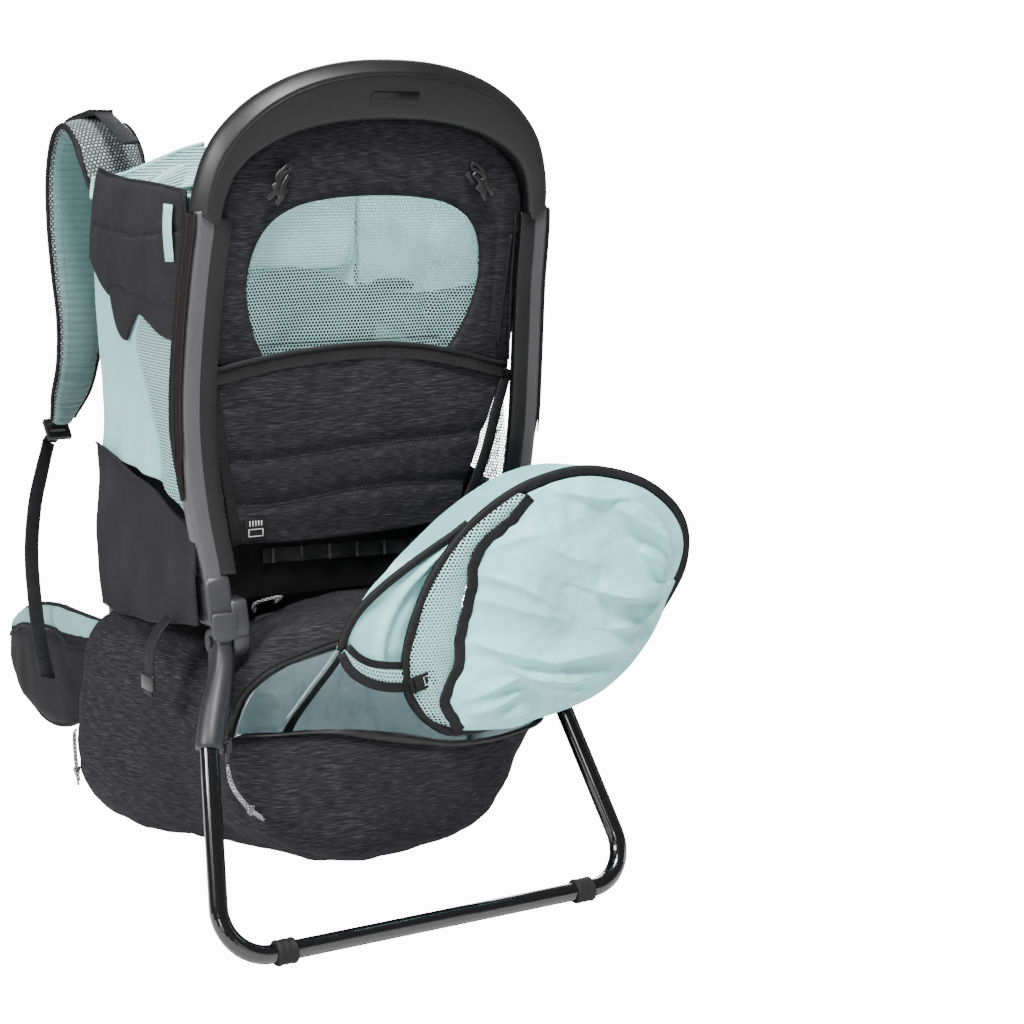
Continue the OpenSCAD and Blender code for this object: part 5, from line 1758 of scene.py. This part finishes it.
# strap that ties the shade down inside the bag
TETHER = [(-48, -60, 268), (-49, -50, 252), (-55, -40, 236), (-68, -30, 214), (-86, -18, 184),
          (-98, -6, 150)]


def shade_tether():
    ribbon("shade_tether", TETHER, 6.5, 1.1, *WEBBING, wide=(1, 0.1, 0.55), step=5)
    tube("shade_tether_piping", [(x - 6, y + 1, z + 3) for x, y, z in TETHER[:5]], 1.1, M["lining"],
         "frame", "shade_nylon", n=8, step=5)


shade_tether()

# ---- shoulder harness -----------------------------------------------------
STR = [(80, 286, 603.5), (90, 286, 622), (102, 286.5, 652), (113, 289, 688), (117, 301, 718),
       (118, 328, 733), (118, 356, 720), (117, 374, 684), (116, 379, 636), (116, 378, 585),
       (116, 379, 530), (115, 400, 475), (114, 442, 424)]
STW = [20, 26, 31, 33, 33, 33, 33, 32, 29, 25, 22, 20, 12]


def shoulder(s, tag):
    pts = [Vector((s * x, y, z)) for x, y, z in STR]
    path = even(pts, 4)
    wid = [w.x for w in catmull([(w, 0, 0) for w in STW], len(path))]
    rows, edges = [], [[], []]
    m = 44
    for i, p in enumerate(path):
        t = tangent(path, i)
        a = (Vector((1, 0, 0)) - t * t.x).normalized()
        b = t.cross(a)
        w = wid[i]
        ring = []
        for k in range(m):
            v = 2 * math.pi * k / m
            x = (w - 0.5) * pw(math.cos(v), 0.35)
            inner = math.sin(v) > 0
            rib = abs(math.sin(math.pi * i / 2.75)) ** 0.7 if inner else 0.6
            swell = 6.4 * (1 - (abs(x) / w) ** 3) ** 0.6
            y = pw(math.sin(v), 0.55) * (swell * (0.72 + 0.28 * rib) + 1.1)
            ring.append(p + a * x + b * (y + wob(p.x + x, p.y, p.z, 30, 0.6)))
        rows.append(ring)
        for e in (0, 1):
            edges[e].append(p + a * ((w + 0.3) * (1 if e else -1)))

    def choose(i, j):
        v = 2 * math.pi * (j + 0.5 / m)
        side = abs(math.cos(v))
        if pw(side, 0.35) > 0.86:
            return 1
        return 0 if math.sin(v) > 0 else 1

    o = surface("shoulder_strap_%s_pad" % tag, rows, [M["rib"], M["spacer"]], "shoulder_harness",
                "spacer_mesh", closed=True, cap=True, pick=choose)
    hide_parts("shoulder_strap_" + tag)
    for e in (0, 1):
        tube("shoulder_binding_%s_%d" % (tag, e), edges[e][2:-1], 2.0, M["binding"], "shoulder_harness",
             "binding_black", n=8, ref=(0.1, 0.3, 1), rb=3.4)
    for e in (0.62, -0.62):
        stitch("shoulder_stitch_%s_%d" % (tag, e > 0),
               [p + Vector((1, 0, 0)) * e * wid[i] + tangent(path, i).cross(Vector((1, 0, 0))) * 6.1
                for i, p in enumerate(path[:-6])], "shoulder_harness", M["thread"], 4, 2.4, 0.4)


def harness_webbing(s, tag):
    """One shoulder strap with its webbings."""
    shoulder(s, tag)
    LOW = [(118, 470, 398), (130, 460, 372), (150, 436, 335), (168, 404, 290), (181, 366, 245),
           (189, 334, 205), (193, 308, 178)]
    ribbon("strap_tip_loop_" + tag,
           mirror_x([(114.5, 428, 441), (114, 441, 427), (114, 452, 416), (114.5, 458, 410)], s), 9.5,
           1.0, *HARNESS_WEB, step=4)
    ribbon("lock_web_loop_" + tag, mirror_x([(114, 448, 420), (115, 460, 408), (118, 470, 398)], s), 9,
           1.0, *HARNESS_WEB, step=4)
    lw = ribbon("lower_webbing_" + tag, mirror_x(LOW, s), 9, 1.0, *HARNESS_WEB, wide=(s * 1.0, -0.45, 0),
                step=6)
    UPL = [(112, 252, 716), (114, 270, 726), (115.5, 288, 736), (117, 308, 745.5)]
    TAIL = [(118, 338, 745.5), (120, 372, 738), (122, 398, 718), (123, 408, 690), (123, 410, 655),
            (123, 410, 620)]
    lf = ribbon("lifter_webbing_" + tag, mirror_x(UPL, s), 10, 1.0, *HARNESS_WEB, step=5)
    ribbon("lifter_tail_" + tag, mirror_x(TAIL, s), 10, 1.0, *HARNESS_WEB, step=5)
    block("lifter_tail_stop_" + tag, (s * 123, 410, 617), (21, 5, 7), *HARNESS_WEB, r=1.2)
    if s < 0:
        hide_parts("lower_webbings")
        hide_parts("lifter_webbings")


for side, side_name in SIDES:
    harness_webbing(side, side_name)

# ---- hip belt -------------------------------------------------------------
HW = [(128, 286, 190), (137, 300, 187), (145, 322, 182), (150, 352, 176), (152, 395, 172),
      (150, 440, 170), (145, 480, 169), (138, 512, 169), (131, 532, 169)]
HH = [42, 54, 64, 68, 67, 62, 54, 42, 24]


def hip_wing(s, tag):
    """Padded hip wing with its binding and webbing guide."""
    path = even(mirror_x(HW, s), 5)
    high = [w.x for w in catmull([(w, 0, 0) for w in HH], len(path))]
    rows, top_edge = [], []
    m = 60
    for i, p in enumerate(path):
        t = tangent(path, i)
        a = t.cross(Vector((0, 0, 1))).normalized()
        if a.x * s < 0:
            a = -a
        h = high[i]
        f = i / (len(path) - 1)
        ring = []
        for k in range(m):
            v = 2 * math.pi * k / m
            z = h * pw(math.sin(v), 0.42)
            edge = (1 - (abs(z) / h) ** 4) ** 0.5
            outer = math.cos(v) > 0
            d = pw(math.cos(v), 0.5) * (6.9 * edge + 3.0)
            fold_w = (1.6 * math.sin(z / 9.0 + 3 * f) * math.exp(-((f - 0.35) / 0.25) ** 2) if outer
                      else 1.8 * abs(math.sin(z / 12.0)))
            d += fold_w * edge
            d += wob(p.x, p.y, p.z + z, 32, 2.2) * edge
            if outer:
                d -= 2.0 * math.exp(-((z - 0.52 * h) / 2.2) ** 2)
            ring.append(p + a * d + Vector((0, 0, z)))
        rows.append(ring)
        top_edge.append(p + Vector((0, 0, h)))
    o = surface("hip_wing_%s_pad" % tag, rows, [M["dark"], M["hip"]], "hip_" + tag, "heather_charcoal",
                closed=True, cap=True, pick=lambda i, j: 0
                if math.cos(2 * math.pi * j) > 0.05 and math.sin(2 * math.pi * j) < 0.21 else 1)
    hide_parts("hip_wing_" + tag)
    inflate(o, 3.0, 3.5)
    roll = [p + Vector((s * 40, 0, 0.55 * (top_edge[i].z - p.z))) for i, p in enumerate(path)]
    tube("hip_upper_roll_" + tag, settle(o, roll)[2:-2], 2.6, M["binding"], "hip_" + tag, "binding_black",
         n=8)
    low_edge = [Vector((q.x, q.y, 2 * path[i].z - q.z)) for i, q in enumerate(top_edge)]
    rim = settle(o, top_edge + list(reversed(low_edge)))
    sweep("hip_binding_" + tag, rim, circle(2.2, 8, 3.6), M["binding"], "hip_" + tag, "binding_black",
          ref=(1, 0, 0.05), closed=True)
    ribbon("hip_web_guide_" + tag, [Vector((s * (abs(p.x) + 10.5), p.y, p.z)) for p in path[16:-2]], 12,
           1.0, M["webbing"], "hip_" + tag, "webbing_black", wide=(0, 0, 1), step=5)


def hip_belt(s, tag):
    """Belt webbing and its half of the buckle."""
    HS = [(130.3, 533.8, 169), (122, 548, 169), (111, 559, 168), (99, 567, 167)]
    hs = ribbon("hip_strap_%s_web" % tag, mirror_x([(137, 522, 169)] + HS, s), 12.5, 1.2, M["webbing"],
                "hip_" + tag, "webbing_black", wide=(0, 0, 1), step=4)
    turn = rot("Z", -28 * s)
    block("hip_buckle_%s_body" % tag, (s * 90, 566, 167), (34, 9, 30), M["buckle"], "hip_" + tag,
          "buckle_plastic", r=3.2, turn=turn)
    for dz in (-8.5, 8.5):
        block("hip_buckle_%s_prong_%d" % (tag, dz > 0), (s * 73, 564, 167 + dz), (16, 5, 5), M["buckle"],
              "hip_" + tag, "buckle_plastic", r=1.8, turn=turn)
    block("hip_buckle_%s_bar" % tag, (s * 100, 571, 167), (6, 4.5, 30), M["buckle"], "hip_" + tag,
          "buckle_plastic", r=1.8, turn=turn)
    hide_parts("hip_strap_" + tag)


for side, side_name in SIDES:
    hip_wing(side, side_name)
    hip_belt(side, side_name)

# ---- hard pieces that keep their exact shape ------------------------------
for key, names in (("gloss", ("stand_tube",)), ("buckle", ("hinge_pins", "strip_rivets")),
                   ("frame", ("front_frame", "side_struts")), ("rubber", ("base_foot",)),
                   ("red", ("buckle_button",)),
                   ("buckle", ("harness_buckle", "zip_slider", "ladder_locks", "yoke_plate"))):
    for name in names:
        NODES[name].data.materials.clear()
        NODES[name].data.materials.append(M[key])
